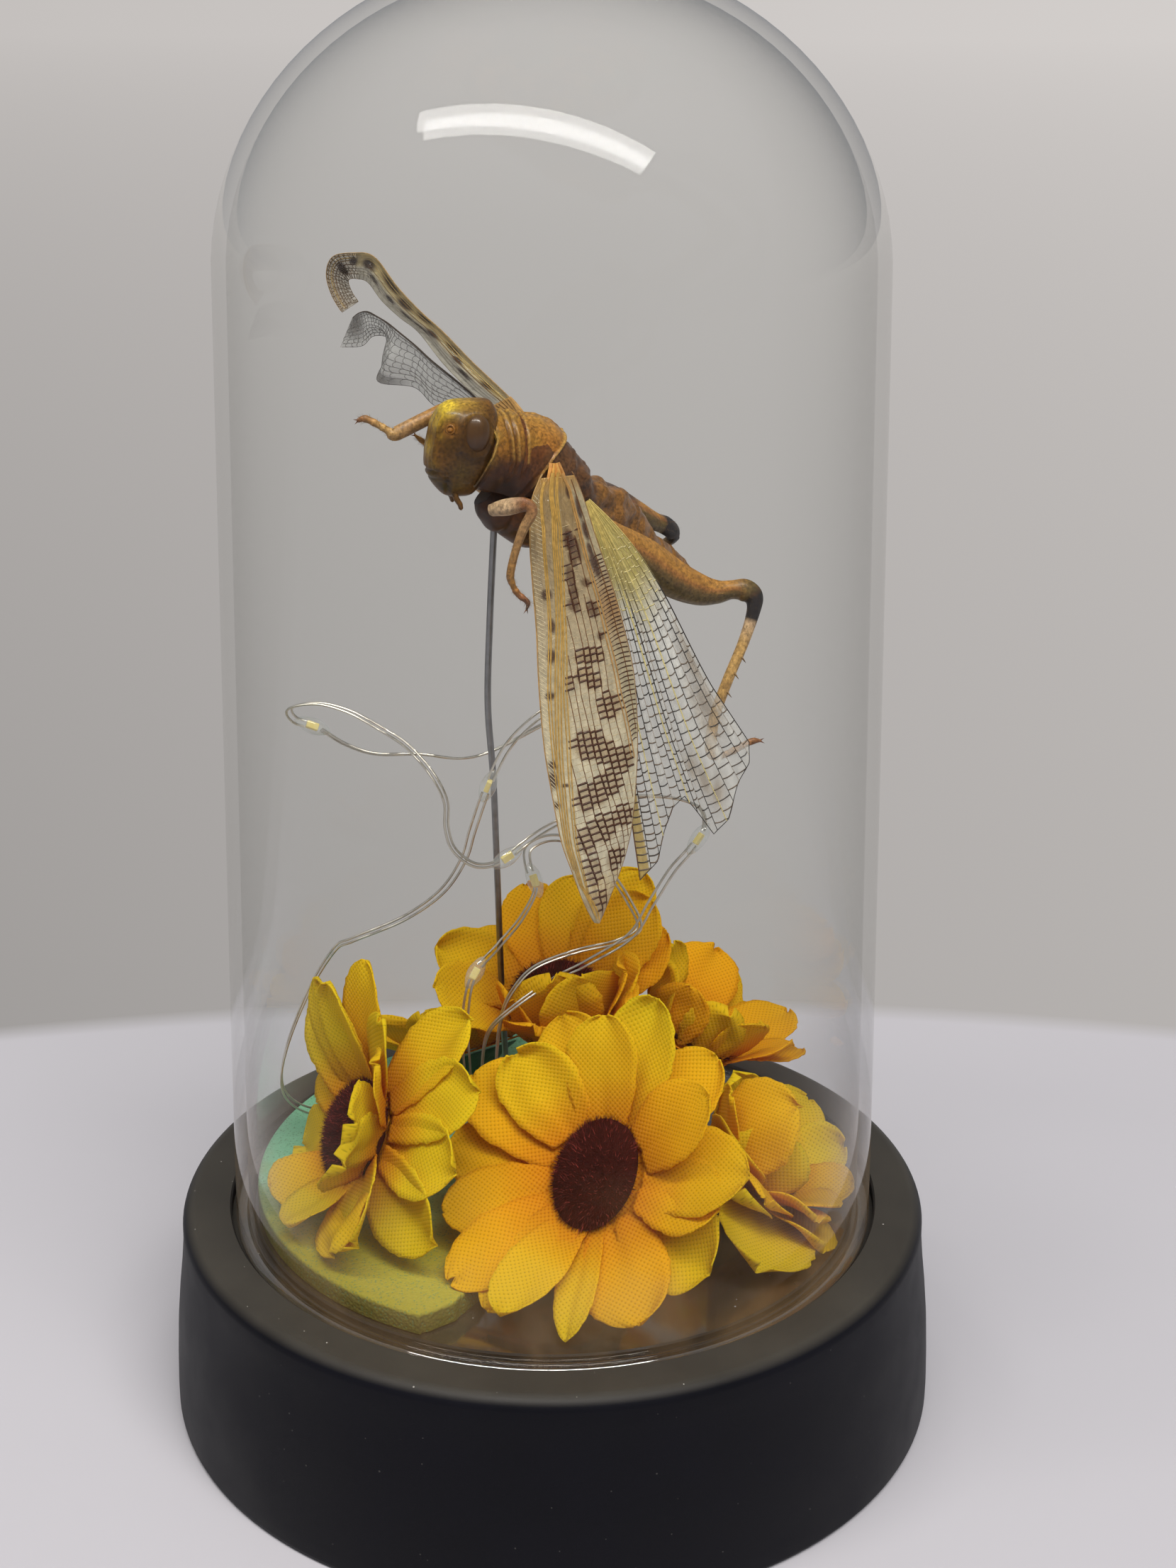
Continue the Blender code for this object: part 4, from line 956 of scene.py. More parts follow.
# %% Eyes
eye = Finish("eye_brown", Roughness=0.35, Specular_IOR_Level=0.3, Coat_Weight=0.3, Coat_Roughness=0.08)
spot = eye.where()
bands = eye.noise(eye.stretch(spot, 2.2, 2.2, 0.35), 1.0, 2.0)
low = eye.span(eye.axis(spot, "Z"), 139.6, 144.6)
deep = eye.mix(low, (0.06, 0.021, 0.005), (0.085, 0.04, 0.009))
deep = eye.mix(eye.times(bands, 0.6), deep, (0.012, 0.005, 0.002))
facets = eye.cells(spot, 14.0)
eye.look(Base_Color=deep, Normal=eye.bump(facets, 0.12, 0.00003))
eyes = []
for sign in (1, -1):
    middle = HEAD @ Vector((-0.85, sign * 3.35, 0.15 if sign > 0 else 0.75))
    tilt = HEAD.to_3x3() @ Matrix.Rotation(radians(-8), 3, "Y")
    eyes.append(ball(f"eye_{sign}", middle, (1.75, 1.45, 2.45), tilt))
eyes = join(*eyes)
eyes.name = "locust_eyes"
tidy_normals(eyes)
smooth(eyes, 180)
place(eyes, eye, "shell_ochre")

# %% [markdown]
# ## The legs
#
# A leg is a chain of hollow tubes: a thick femur, a thin tibia and a foot of short pads with two
# claws.  Each leg follows one curve with the joints as swellings, and its colour changes along it.
# The hind legs also have a dark knee, pale rows of ridges on the thigh and spines on the shin.

# %% Leg stations and colours
TAN, OCHRE, RED, PALE = (0.31, 0.175, 0.07), (0.4, 0.235, 0.075), (0.2, 0.075, 0.025), (0.46, 0.31, 0.17)
OLIVE, ORANGE, UMBER = (0.1, 0.066, 0.02), (0.29, 0.135, 0.026), (0.075, 0.042, 0.024)
BLACK = (0.02, 0.016, 0.015)
LEGS = {  # for each leg its stations (x, y, z, radius) and its colours (share of the way, colour)
    "near_foreleg": (
        [(-7.6, -10.2, 132.6, 0.8), (-5.7, -11.8, 133.4, 1.1), (-3.4, -13, 134, 0.9), (-2.6, -13.6, 133.2, 0.75),
         (-3.6, -13.8, 131.2, 0.65), (-4.6, -13.6, 128.4, 0.55), (-5.3, -13.2, 125.3, 0.55),
         (-5.1, -13.1, 123.9, 0.45), (-4.4, -13.2, 122.6, 0.5), (-3.2, -13.5, 121.6, 0.4),
         (-3.3, -13.6, 120.6, 0.15)],
        [(0, PALE), (0.16, PALE), (0.26, RED), (0.4, TAN), (0.8, ORANGE), (0.9, RED), (1, BLACK)]),
    "far_foreleg": (
        [(-6.2, 1.9, 137, 0.9), (-8.6, 1.9, 140, 1), (-11.2, 0, 142.4, 0.9), (-13.2, -0.9, 143.4, 0.9),
         (-16.1, -1.8, 142.4, 0.85), (-18.9, -2.4, 141.1, 0.85), (-20.2, -2.6, 140.6, 0.8),
         (-21, -2.7, 141.1, 0.55), (-22.1, -2.8, 141.8, 0.5), (-23.7, -2.9, 142.6, 0.5), (-24.7, -3, 142.4, 0.3)],
        [(0, TAN), (0.5, ORANGE), (0.7, TAN), (0.85, OCHRE), (1, RED)]),
    "near_midleg": (
        [(0, -4.8, 125.4, 0.9), (2.4, -4.6, 122.6, 1), (5, -4.6, 118.6, 0.9), (5.4, -4.7, 117.2, 0.8),
         (5, -5, 114.8, 0.6), (3, -5.4, 108.8, 0.5), (2.3, -5.8, 106.8, 0.45), (2.7, -6.4, 104.4, 0.2)],
        [(0, TAN), (0.4, RED), (0.6, ORANGE), (1, RED)]),
    "far_midleg": (
        [(-3.8, 3.2, 129, 1), (-8.2, 4, 131.6, 1), (-12.4, 3.6, 134.6, 0.9), (-13.8, 2.8, 136.2, 0.7),
         (-15.6, 1.4, 138, 0.5), (-16.9, 0.2, 139.2, 0.4), (-17.7, -0.3, 140, 0.15)],
        [(0, TAN), (0.5, OCHRE), (1, ORANGE)]),
    "near_hindleg": (
        [(5.2, -3.4, 129.4, 1.3), (7.8, -1.4, 126.8, 1.8), (11.7, 1, 123.6, 2.35), (15.9, 2.6, 120.2, 2.3),
         (19.4, 3.8, 118.3, 1.95), (21.9, 4.4, 117.8, 1.5), (23.9, 4.8, 118, 1.2), (25.6, 5, 117.9, 1.4),
         (26.8, 4.9, 117, 1.25), (26.9, 4.4, 115.3, 0.85), (25.6, 3.2, 111.3, 0.68), (23.3, 1.3, 106.1, 0.66),
         (21.7, 0.1, 101.6, 0.66), (21.2, -0.8, 97.6, 0.72), (21.8, -1, 96.4, 0.55), (23.6, -0.8, 96.8, 0.5),
         (26.6, -0.2, 98.2, 0.5), (28, 0, 98.3, 0.2)],
        [(0, ORANGE), (0.42, ORANGE), (0.465, OLIVE), (0.485, BLACK), (0.535, BLACK), (0.55, PALE), (0.6, OCHRE),
         (0.86, OCHRE), (0.9, TAN), (1, RED)]),
    "far_hindleg": (
        [(5.2, 11.4, 130.6, 1.2), (8.6, 14.4, 127.8, 1.8), (12, 17.2, 125.2, 1.6), (14.4, 19.2, 123.6, 1.2),
         (16, 20.4, 122.6, 1.3), (16.9, 21.4, 121.3, 1), (15.4, 21.8, 119.8, 0.6), (11.4, 20.4, 120, 0.6),
         (6.6, 17.4, 122, 0.55), (4.6, 16.2, 122.6, 0.3)],
        [(0, UMBER), (0.22, UMBER), (0.29, ORANGE), (0.42, ORANGE), (0.46, BLACK), (0.57, BLACK), (0.62, OCHRE),
         (1, TAN)]),
}
# where each leg's femur ends and its foot begins, as shares of the leg, and how many spines a row has
JOINTS = {"near_foreleg": (0.36, 0.8, 0), "far_foreleg": (0.72, 0.8, 0), "near_midleg": (0.42, 0.86, 5),
          "far_midleg": (0.62, 0.84, 4), "near_hindleg": (0.545, 0.88, 9), "far_hindleg": (0.55, 0.93, 7)}
# where the hidden legs' first joints meet the body
FIRST_JOINTS = {"far_hindleg": (3.2, 7.6, 129.8), "far_midleg": (-3, 0.6, 129.4),
                "far_foreleg": (-5, -0.8, 136.6)}
LEG_SIDES, HAIRS = 20, 240

# %% [markdown]
# One function grows every leg: rings of points along the curve, stubs towards the body for the
# legs behind it, paired thorns on the shin, two claws and a scatter of fine hairs.

# %% Growing a leg
def spike(points, faces, colours, foot, way, length, radius, tint):
    """A four-sided thorn."""
    way = Vector(way).normalized()
    side = way.orthogonal().normalized() * radius
    over = way.cross(side)
    start = len(points)
    points += [foot + side, foot + over, foot - side, foot - over, foot + way * length]
    faces += [(start + k, start + (k + 1) % 4, start + 4) for k in range(4)]
    colours += [tint] * 4 + [tuple(0.3 * v for v in tint)]


def make_leg(name, rows, stops):
    femur, foot, spines = JOINTS[name]
    steps = 10 * len(rows)
    table = blend_rows(rows, steps)
    centres = [Vector(row[:3]) for row in table]
    marks = np.concatenate([[0], np.cumsum([(b - a).length for a, b in zip(centres, centres[1:])])])
    marks /= marks[-1]
    if name in FIRST_JOINTS:
        stub = [(*blend(FIRST_JOINTS[name], centres[0], k / 6), 1.7 - 0.07 * k) for k in range(6)]
        table, steps = np.vstack([stub, table]), steps + 6
        centres = [Vector(row[:3]) for row in table]
        marks = np.concatenate([[0.0] * 6, marks])
    shares, tints = zip(*stops)
    points, faces, colours = [], [], []
    hind = "hind" in name
    spine_feet = []
    for i, (centre, way, side, over) in enumerate(frames_along(centres, Vector((0.35, -0.93, 0.0)))):
        row, t = table[i], float(marks[i])
        tint = Vector([read_off(t, shares, [c[k] for c in tints]) for k in range(3)])
        thigh = hind and t < femur - 0.1
        pads = 0.14 * abs(sin((t - foot) * 60)) if t > foot else 0.0
        for k in range(LEG_SIDES):
            a = 2 * pi * k / LEG_SIDES
            radius = max(row[3], 0.08) - pads * row[3]
            flat = 0.78 if hind and t < femur else 0.92
            ridge = 0.1 * max(0.0, cos(4 * a)) ** 3 if t < foot else 0.0
            chevron = 0.05 * sin(70 * t + 6 * abs(sin(a))) if thigh and abs(cos(a)) > 0.5 else 0.0
            out = radius * (1 + ridge) + chevron
            points.append(centre + side * out * flat * cos(a) + over * out * sin(a))
            shade = tint
            if thigh:
                lower = sin(a) * (1 if over.z < 0 else -1)
                shade = blend(tint, OLIVE, clamp((lower + 0.35) / 0.4))
                shade = blend(shade, RED, 0.7 * bump_at(lower, -0.25, 0.16))
                shade = blend(shade, (0.2, 0.17, 0.11), 0.8 * clamp((lower - 0.55) / 0.3))
            colours.append(tuple(shade * (1 + 0.2 * noise.noise(points[-1] * 1.3))))
        if femur + 0.06 < t < foot and spines:
            spine_feet.append((centre, way, side, over, row[3], tuple(tint)))
    faces += grid_faces(steps, LEG_SIDES) + end_faces(steps, LEG_SIDES)
    for k in range(spines):
        centre, way, side, over, radius, tint = spine_feet[int((k + 0.5) / spines * len(spine_feet))]
        for sign in (-1, 1):
            out = over * 0.9 + side * 0.45 * sign
            out = out if out.x * (1 if "near" in name else -1) > 0 else -out
            root = centre + out.normalized() * radius * 0.8
            spike(points, faces, colours, root, out + way * 0.55, 1.15, 0.17, (0.22, 0.13, 0.05))
    end, before = centres[-1], centres[-6]
    way = (end - before).normalized()
    for sign in (-1, 1):
        side = way.orthogonal().normalized() * sign
        spike(points, faces, colours, end - way * 0.15, way + side * 0.6, 0.8, 0.16, RED)
    rng = random.Random(len(name))
    for _ in range(HAIRS):
        i = rng.randrange(steps // 8, steps - 4)
        a = rng.uniform(0, 2 * pi)
        along = (centres[i + 1] - centres[i - 1]).normalized()
        out = Matrix.Rotation(a, 3, along) @ along.orthogonal().normalized()
        spike(points, faces, colours, centres[i] + out * table[i][3] * 0.75, out + along * 0.8,
              rng.uniform(0.35, 0.7), 0.022, (0.25, 0.16, 0.08))
    leg = new_mesh(f"leg_{name}", points, faces)
    paint(leg, "tone", colours)
    tidy_normals(leg)
    smooth(leg, 50)
    return leg

# %% Legs
horn = Finish("leg_brown", Specular_IOR_Level=0.3, Coat_Weight=0.15, Coat_Roughness=0.25)
spot = horn.where()
fine = horn.noise(spot, 2.4, 5.0, 0.65)
blur = horn.noise(spot, 0.9, 3.0)
tone = horn.dim(horn.colour_of("tone"), horn.ramp(fine, (0.32, 0.42), (0.65, 1.3)))
tone = horn.mix(horn.ramp(blur, (0.52, 0.0), (0.72, 0.4)), tone, (0.09, 0.035, 0.012))
horn.look(Base_Color=tone, Roughness=horn.times(fine, 0.35, 0.28), Normal=horn.bump(fine, 0.35, 0.00015))
for name, (rows, stops) in LEGS.items():
    place(make_leg(name, rows, stops), horn, "leg_brown", f"locust_{name}")

# %% [markdown]
# ## The wings
#
# An insect wing is a clear film stretched over a net of hollow veins.  The film is one thin sheet;
# the veins are real raised ribs on it, because they catch the light and throw the pattern.  Each
# wing is drawn in its own flat coordinates: how far from the root, and what share of the way from
# the leading edge to the trailing edge.  Long veins are drawn as short lists of such points, and
# the short cross veins between neighbours are counted out along them.

# %% A net of ribs
class Ribs:
    """Collects four-sided ribs and makes one mesh of them."""

    def __init__(self):
        self.points, self.faces, self.colours = [], [], []

    def add(self, line, radii, tints, up):
        """A rib along points in millimetres; radii and tints have one value for each point."""
        first = len(self.points)
        for i, point in enumerate(line):
            way = heading(line, i)
            side = way.cross(up)
            if side.length < 1e-9:
                side = way.orthogonal()
            side = side.normalized() * radii[i]
            over = Vector(up).normalized() * radii[i] * 0.9
            self.points += [point + side, point + over, point - side, point - over]
            self.colours += [tints[i]] * 4
        self.faces += grid_faces(len(line), 4, first)
        last = first + 4 * (len(line) - 1)
        self.faces += [(first + 3, first + 2, first + 1, first), (last, last + 1, last + 2, last + 3)]

    def mesh(self, name):
        piece = new_mesh(name, self.points, self.faces)
        paint(piece, "tone", self.colours)
        tidy_normals(piece)
        return piece


def on_line(line, s):
    """The share across the wing where a drawn vein passes distance s, or None past its ends."""
    places, shares = zip(*line)
    if s < places[0] or s > places[-1]:
        return None
    return read_off(s, places, shares)


def soft_spots(spots, s, t, blur=0.18):
    """How far a place lies inside the darkest of some oval spots, from 0 to 1."""
    deepest = 0.0
    for spot_s, spot_t, wide, tall in spots:
        away = hypot((s - spot_s) / wide, (t - spot_t) / tall)
        deepest = max(deepest, clamp((1.0 + blur - away) / (2 * blur)))
    return deepest

# %% Film and rib finishes
VEIN_OCHRE, VEIN_BROWN, VEIN_DARK = (0.42, 0.25, 0.06), (0.14, 0.06, 0.018), (0.052, 0.017, 0.006)
FILM_CREAM = (0.72, 0.65, 0.47)


def film_material(name, clear_share):
    """A glossy crinkled film: its alpha comes from the paint, and light falls through the rest."""
    film = Finish(name, Roughness=0.16, Specular_IOR_Level=0.9, Coat_Weight=0.6, Coat_Roughness=0.06)
    flat = film.node("UVMap", {"uv_map": "cloth"})
    crinkle = film.noise(film.stretch(flat, 1.3, 0.5, 1.0), 1.0, 4.0, 0.6)
    fine = film.noise(film.stretch(flat, 3.2, 1.8, 1.0), 1.0, 2.0)
    tone = film.dim(film.colour_of("tone"), film.ramp(crinkle, (0.3, 0.8), (0.65, 1.12)))
    relief = film.plus(crinkle, film.times(fine, 0.5))
    film.look(Base_Color=tone, Normal=film.bump(relief, 0.75, 0.0005))
    solid = film.layers(0.35, film.shader, film.node("BsdfTranslucent", Color=tone))
    hole = film.node("BsdfTransparent", Color=clear_share)
    film.show(film.layers(film.number_of("cover"), hole, solid))
    return film


def film_sheet(name, surface, rows, columns, tone, cover, flat):
    """A sheet over 0..1 by 0..1 of a surface, painted by place."""
    places = [(i / rows, j / columns) for i in range(rows + 1) for j in range(columns + 1)]
    faces = grid_faces(rows + 1, columns + 1, looped=False)
    piece = new_mesh(name, [surface(u, v) for u, v in places], faces)
    lay_flat(piece, "cloth", [flat(u, v) for u, v in places])
    paint(piece, "tone", [tone(u, v) for u, v in places])
    paint(piece, "cover", [cover(u, v) for u, v in places])
    smooth(piece, 180)
    modify(piece, "SOLIDIFY", thickness=0.05 * MM, offset=0.0)
    return piece


rib = Finish("vein_rib", Roughness=0.42, Specular_IOR_Level=0.3)
tone = rib.dim(rib.colour_of("tone"), rib.ramp(rib.noise(rib.where(), 1.8, 3.0), (0.3, 0.7), (0.7, 1.2)))
rib.look(Base_Color=tone, Normal=rib.bump(rib.noise(rib.where(), 6.0), 0.2, 0.00004))

# %% [markdown]
# The near forewing hangs down in front: a long leathery blade with two thick yellow-brown vein
# bands, square cells that are dark brown where a blotch lies, and a hatched strip along its rear
# edge.  Its root ends in a knot of thick orange veins at the hinge.

# %% Outline of the near forewing
HINGE = Vector((0.0, -7.5, 136.2))
SPAN = Vector((0.097, -0.236, -0.967)).normalized()
CHORD = Vector((0.948, 0.318, 0.017)).normalized()
BACK = CHORD.cross(SPAN)
NEAR_EDGES = blend_rows([  # distance from the hinge, leading edge, rear edge
    (-1.2, -0.8, 2.2), (0.4, -1.9, 3.0), (3.0, -3.1, 3.8), (8.0, -3.8, 4.9), (13.5, -4.0, 6.3), (19.0, -4.1, 7.4),
    (26.0, -4.5, 8.3), (34.0, -4.6, 8.0), (41.0, -4.1, 7.0), (46.0, -3.6, 5.9), (50.0, -2.6, 4.4), (54.0, -1.5, 2.3),
    (56.4, -0.6, 1.0), (57.2, -0.2, 0.5)], 160)
NEAR_LENGTH = 57.2


def near_edges(s):
    return [read_off(s, NEAR_EDGES[:, 0], NEAR_EDGES[:, k]) for k in (1, 2)]


def near_fore(s, t, lift=0.0):
    lead, trail = near_edges(s)
    arch = -0.75 * sin(pi * clamp(t)) - lift
    arch += 0.1 * cos(t * 34) * min(1.0, s / 8) * (1 - s / 60)
    return HINGE + SPAN * s + CHORD * (lead + (trail - lead) * t) + BACK * arch

# %% Places of its veins, as (distance from the hinge, share across the wing), and of its blotches
VEIN_COSTA = [(-0.5, 0), (57, 0)]
VEIN_SC = [(0.5, 0.14), (6.5, 0.2), (16, 0.16), (27, 0.09), (36, 0.08), (43, 0.06), (50, 0.04)]
VEIN_R1 = [
    (-0.5, 0.3), (4.7, 0.38), (14.4, 0.285), (22, 0.215), (27, 0.18), (34, 0.145), (41, 0.11), (47, 0.085),
    (52, 0.08), (56.6, 0.3)]
VEIN_R2 = [
    (-0.5, 0.45), (6.7, 0.45), (16.4, 0.325), (27.3, 0.25), (33.5, 0.245), (41.4, 0.205), (48.4, 0.18), (53.5, 0.2),
    (56.8, 0.55)]
VEIN_M = [
    (-0.3, 0.6), (1.6, 0.74), (6, 0.77), (10.9, 0.76), (15.9, 0.77), (20.9, 0.78), (28.1, 0.82), (30.5, 0.86),
    (36.6, 0.95), (40.6, 1)]
VEIN_CU = [(0.5, 0.84), (6, 0.9), (12, 0.91), (20, 0.91), (28, 0.94), (33, 0.98)]
VEIN_REAR = [(-0.5, 1), (57, 1)]
FAN = [  # the long veins of the middle field, in the order in which they leave the vein band
    [(44, 0.21), (50, 0.36), (54, 0.55), (56.4, 0.85)],
    [(36, 0.25), (43.8, 0.34), (50.6, 0.54), (54, 0.8), (55.3, 0.97)],
    [(26.9, 0.28), (31.6, 0.33), (36.8, 0.37), (43.8, 0.47), (50.6, 0.76), (52.6, 0.97)],
    [(22.5, 0.31), (29.2, 0.37), (33.8, 0.41), (41.9, 0.52), (47.5, 0.7), (51.6, 0.97)],
    [(17.5, 0.35), (21.4, 0.39), (27.8, 0.41), (30.8, 0.45), (37, 0.53), (46.1, 0.76), (50.4, 0.97)],
    [(13, 0.42), (21.5, 0.48), (28.9, 0.49), (33.6, 0.54), (40.1, 0.66), (48.8, 0.97)],
    [(7.5, 0.55), (14, 0.51), (22, 0.55), (28.9, 0.56), (33.6, 0.62), (40.1, 0.76), (46.6, 0.97)],
    [(15, 0.6), (22, 0.62), (28, 0.63), (33, 0.7), (38.6, 0.81), (44.2, 0.97)],
    [(7.5, 0.66), (14, 0.66), (21, 0.69), (27.2, 0.7), (32, 0.77), (37.6, 0.88), (41.6, 0.97)],
]
BLOTCHES = [  # distance, share across, half length, half width; dark cross veins lie in them
    (22.9, 0.54, 1, 0.17), (25.2, 0.46, 1, 0.1), (26.3, 0.55, 1, 0.09), (25.9, 0.29, 0.9, 0.05),
    (29.6, 0.7, 1.7, 0.12), (34.2, 0.46, 2, 0.17), (35.2, 0.62, 1.5, 0.12), (36.6, 0.8, 1.6, 0.15),
    (41, 0.38, 1.8, 0.13), (39.4, 0.66, 1.8, 0.15), (40.4, 0.52, 1.8, 0.12), (44, 0.85, 1.3, 0.16),
    (45.2, 0.57, 1.7, 0.2), (46.4, 0.34, 1.7, 0.13), (49.1, 0.8, 1.4, 0.16), (50.6, 0.38, 1.9, 0.16),
    (54.7, 0.45, 1.5, 0.45), (8, 0.56, 1.5, 0.09), (10.3, 0.56, 1, 0.06), (12.6, 0.48, 1.4, 0.06),
    (14.6, 0.48, 1, 0.06), (16.2, 0.45, 0.9, 0.07), (13.6, 0.66, 0.6, 0.06), (17, 0.67, 1.1, 0.07),
    (20.6, 0.7, 0.6, 0.04), (9.3, 0.65, 1.6, 0.05)]
SOLID_SPOTS = [  # the same for spots where the film itself is dark
    (2, 0.7, 0.9, 0.06), (4.1, 0.84, 1.6, 0.045), (7, 0.86, 1.3, 0.05), (9.5, 0.845, 1, 0.04),
    (11.4, 0.85, 1.8, 0.06), (14.6, 0.15, 0.7, 0.07), (18.6, 0.17, 0.9, 0.04), (22.4, 0.14, 0.9, 0.05),
    (27.4, 0.1, 0.5, 0.05), (36.2, 0.06, 0.6, 0.05), (38.1, 0.04, 1.2, 0.05), (41.4, 0.03, 0.5, 0.04),
    (39, 0.16, 0.25, 0.05), (8.2, 0.57, 1.2, 0.06)]

# %% Long veins
fore = Ribs()
rng = random.Random(5)


def long_vein(line, radius, tint, lift, taper, shift=0.0, spots=()):
    """A rib along a drawn line that gets thinner, and thicker and darker in a blotch."""
    start, end = line[0][0], line[-1][0]
    count = max(6, int((end - start) / 0.45))
    course, radii, tints = [], [], []
    for i in range(count + 1):
        s = start + (end - start) * i / count
        t = on_line(line, s) + shift
        dark = soft_spots(spots, s, t) if spots else 0.0
        course.append(near_fore(s, t, lift))
        radii.append(radius * (1 - taper * i / count) * (1 + 1.3 * dark))
        tints.append(tuple(blend(tint, VEIN_DARK, dark)))
    fore.add(course, radii, tints, -BACK)


for line, shifts, radius, tint, lift, taper in (
        (VEIN_COSTA, [0.0], 0.12, (0.34, 0.2, 0.07), 0.0, 0.4),
        (VEIN_REAR, [0.0], 0.07, (0.22, 0.11, 0.04), 0.0, 0.3),
        (VEIN_SC, [-0.012, 0.014], 0.12, VEIN_OCHRE, 0.05, 0.45),
        (VEIN_R1, [-0.03, 0.0, 0.03], 0.115, VEIN_OCHRE, 0.1, 0.45),
        (VEIN_R2, [-0.018, 0.014], 0.1, VEIN_OCHRE, 0.08, 0.45),
        (VEIN_M[:-1], [-0.022, 0.014], 0.115, (0.4, 0.22, 0.07), 0.1, 0.5),
        (VEIN_CU, [0.0], 0.08, VEIN_BROWN, 0.05, 0.45)):
    for shift in shifts:
        long_vein(line, radius, tint, lift, taper, shift)
for line in FAN:
    long_vein(line, 0.062, VEIN_BROWN, 0.02, 0.1, spots=BLOTCHES)
print("long veins:", len(fore.points), "points")

# %% Cross veins, and the knot at the hinge
def cross_vein(s, t0, t1, slant, radius, tint, bow=0.0):
    """A short rib from (s, t0) to (s + slant, t1)."""
    line, count = [], 4 if bow else 3
    for i in range(count):
        f = i / (count - 1)
        line.append(near_fore(s + slant * f + bow * sin(pi * f), t0 + (t1 - t0) * f, 0.02))
    fore.add(line, [radius] * count, [tint] * count, -BACK)


CELL, PALE_STEP = 0.82, 0.55  # spacing of the cross veins and of the pale ribs in front of them
s = 1.5
while s < 56.5:
    # each long vein with its kind: 0 at the leading edge, 1 and 2 the thick bands, 3 the fan, 4 the rear
    ladder = [(VEIN_COSTA, 0), (VEIN_SC, 0), (VEIN_R1, 1), (VEIN_R2, 2)] + [(line, 3) for line in FAN]
    crossing = [(on_line(line, s), kind) for line, kind in ladder]
    crossing.append((on_line(VEIN_M, s) if s < 40.5 else 0.985, 4))
    crossing = sorted((t, kind) for t, kind in crossing if t is not None)
    lead, trail = near_edges(s)
    for (t0, kind0), (t1, kind1) in zip(crossing, crossing[1:]):
        middle, width = 0.5 * (t0 + t1), (t1 - t0) * (trail - lead)
        if width < 0.16 or kind1 in (1, 2):
            continue
        slant = -0.22 * width
        dark = max(soft_spots(BLOTCHES, s + 0.3, middle), soft_spots(BLOTCHES, s - 0.3, middle)) > 0.5
        if kind0 < 2 and not dark:
            continue
        if dark:
            cross_vein(s + rng.uniform(-0.08, 0.08), t0, t1, slant, 0.15 if s > 20 else 0.12, VEIN_DARK)
        elif s > 21 or rng.random() < 0.5:
            pale = (0.4, 0.3, 0.16) if s < 42 else VEIN_BROWN
            cross_vein(s + rng.uniform(-0.12, 0.12), t0, t1, slant, 0.036, pale)
    s += CELL
s = 2.0
while s < 43:  # pale slanting ribs between the leading edge and the first vein
    cross_vein(s, 0.01, on_line(VEIN_SC, s) - 0.01, 0.9, 0.04, (0.62, 0.52, 0.32))
    s += PALE_STEP
s = 11.0
while s < 35:  # the dark hatch along the rear edge
    t0 = on_line(VEIN_M, s) + 0.02
    slant, step = (-0.75, 0.5) if s < 22 else (-0.35, 0.62)
    cross_vein(s + rng.uniform(-0.06, 0.06), t0, 0.99, slant, 0.085, (0.045, 0.017, 0.007), -0.12)
    s += step
for shift, tint in ((-1.1, (0.5, 0.22, 0.05)), (-0.5, (0.56, 0.3, 0.07)), (0.0, (0.46, 0.2, 0.045)),
                     (0.5, (0.55, 0.3, 0.08)), (1.0, (0.42, 0.19, 0.05))):
    knot = [HINGE + SPAN * (-1.7 + 0.5 * k) + CHORD * (0.4 + shift * (0.35 + 0.17 * k))
            - BACK * (0.1 + 0.25 * sin(0.5 * k)) for k in range(7)]
    fore.add(knot, [0.34 - 0.02 * k for k in range(7)], [tint] * 7, -BACK)

# %% Film of the near forewing
def near_tone(u, t):
    s = u * NEAR_LENGTH
    colour = blend((0.36, 0.24, 0.1), FILM_CREAM, clamp((s - 5) / 34))
    band = bump_at(t, on_line(VEIN_R1, s) or 0.2, 0.035 if s > 35 else 0.045)
    band += 0.8 * bump_at(t, on_line(VEIN_R2, s) or 0.3, 0.03)
    colour = blend(colour, (0.6, 0.46, 0.2), min(1.0, 0.6 * band))
    if s < 34:
        rear = clamp((t - (on_line(VEIN_M, s) or 1.0)) / 0.04)
        strip = blend((0.5, 0.42, 0.26), (0.42, 0.24, 0.09), bump_at(s, 17, 4))
        colour = blend(colour, strip, 0.85 * rear)
    colour = blend(colour, (0.5, 0.27, 0.06), 0.9 * max(0.0, 1 - s / 2.5))
    blotch = (Vector((0.44, 0.29, 0.13)), 0.6) if s > 21 else (Vector((0.15, 0.075, 0.03)), 0.8)
    colour = blend(colour, blotch[0], blotch[1] * soft_spots(BLOTCHES, s, t))
    return blend(colour, (0.085, 0.038, 0.018), 0.95 * soft_spots(SOLID_SPOTS, s, t, 0.3))


def near_cover(u, t):
    s = u * NEAR_LENGTH
    cover = read_off(s, (0, 12, 24, 34, 46, 57), (0.97, 0.93, 0.88, 0.8, 0.62, 0.5))
    rear = 0.92 if t > 0.8 and s < 30 else cover
    lead = max(cover, 0.8) if t < 0.26 else cover
    return max(cover, rear, lead, 0.95 * soft_spots(SOLID_SPOTS, s, t, 0.3), 0.7 * soft_spots(BLOTCHES, s, t))


membrane = film_material("wing_membrane", (0.97, 0.95, 0.9, 1.0))
sheet = film_sheet("near_forewing_film", lambda u, t: near_fore(u * NEAR_LENGTH, t), 240, 60, near_tone, near_cover,
                   lambda u, t: (t * 11.0, u * NEAR_LENGTH))
place(sheet, membrane, "wing_membrane", "locust_near_forewing")
place(fore.mesh("near_forewing_veins"), rib, "wing_membrane")

# %% [markdown]
# The near hindwing is a folded fan of clear film behind the forewing.  Its rays start at one point
# near the root; every other ray is dark, and curved rungs join them like ladders.  The outer edge is
# torn between the rays.

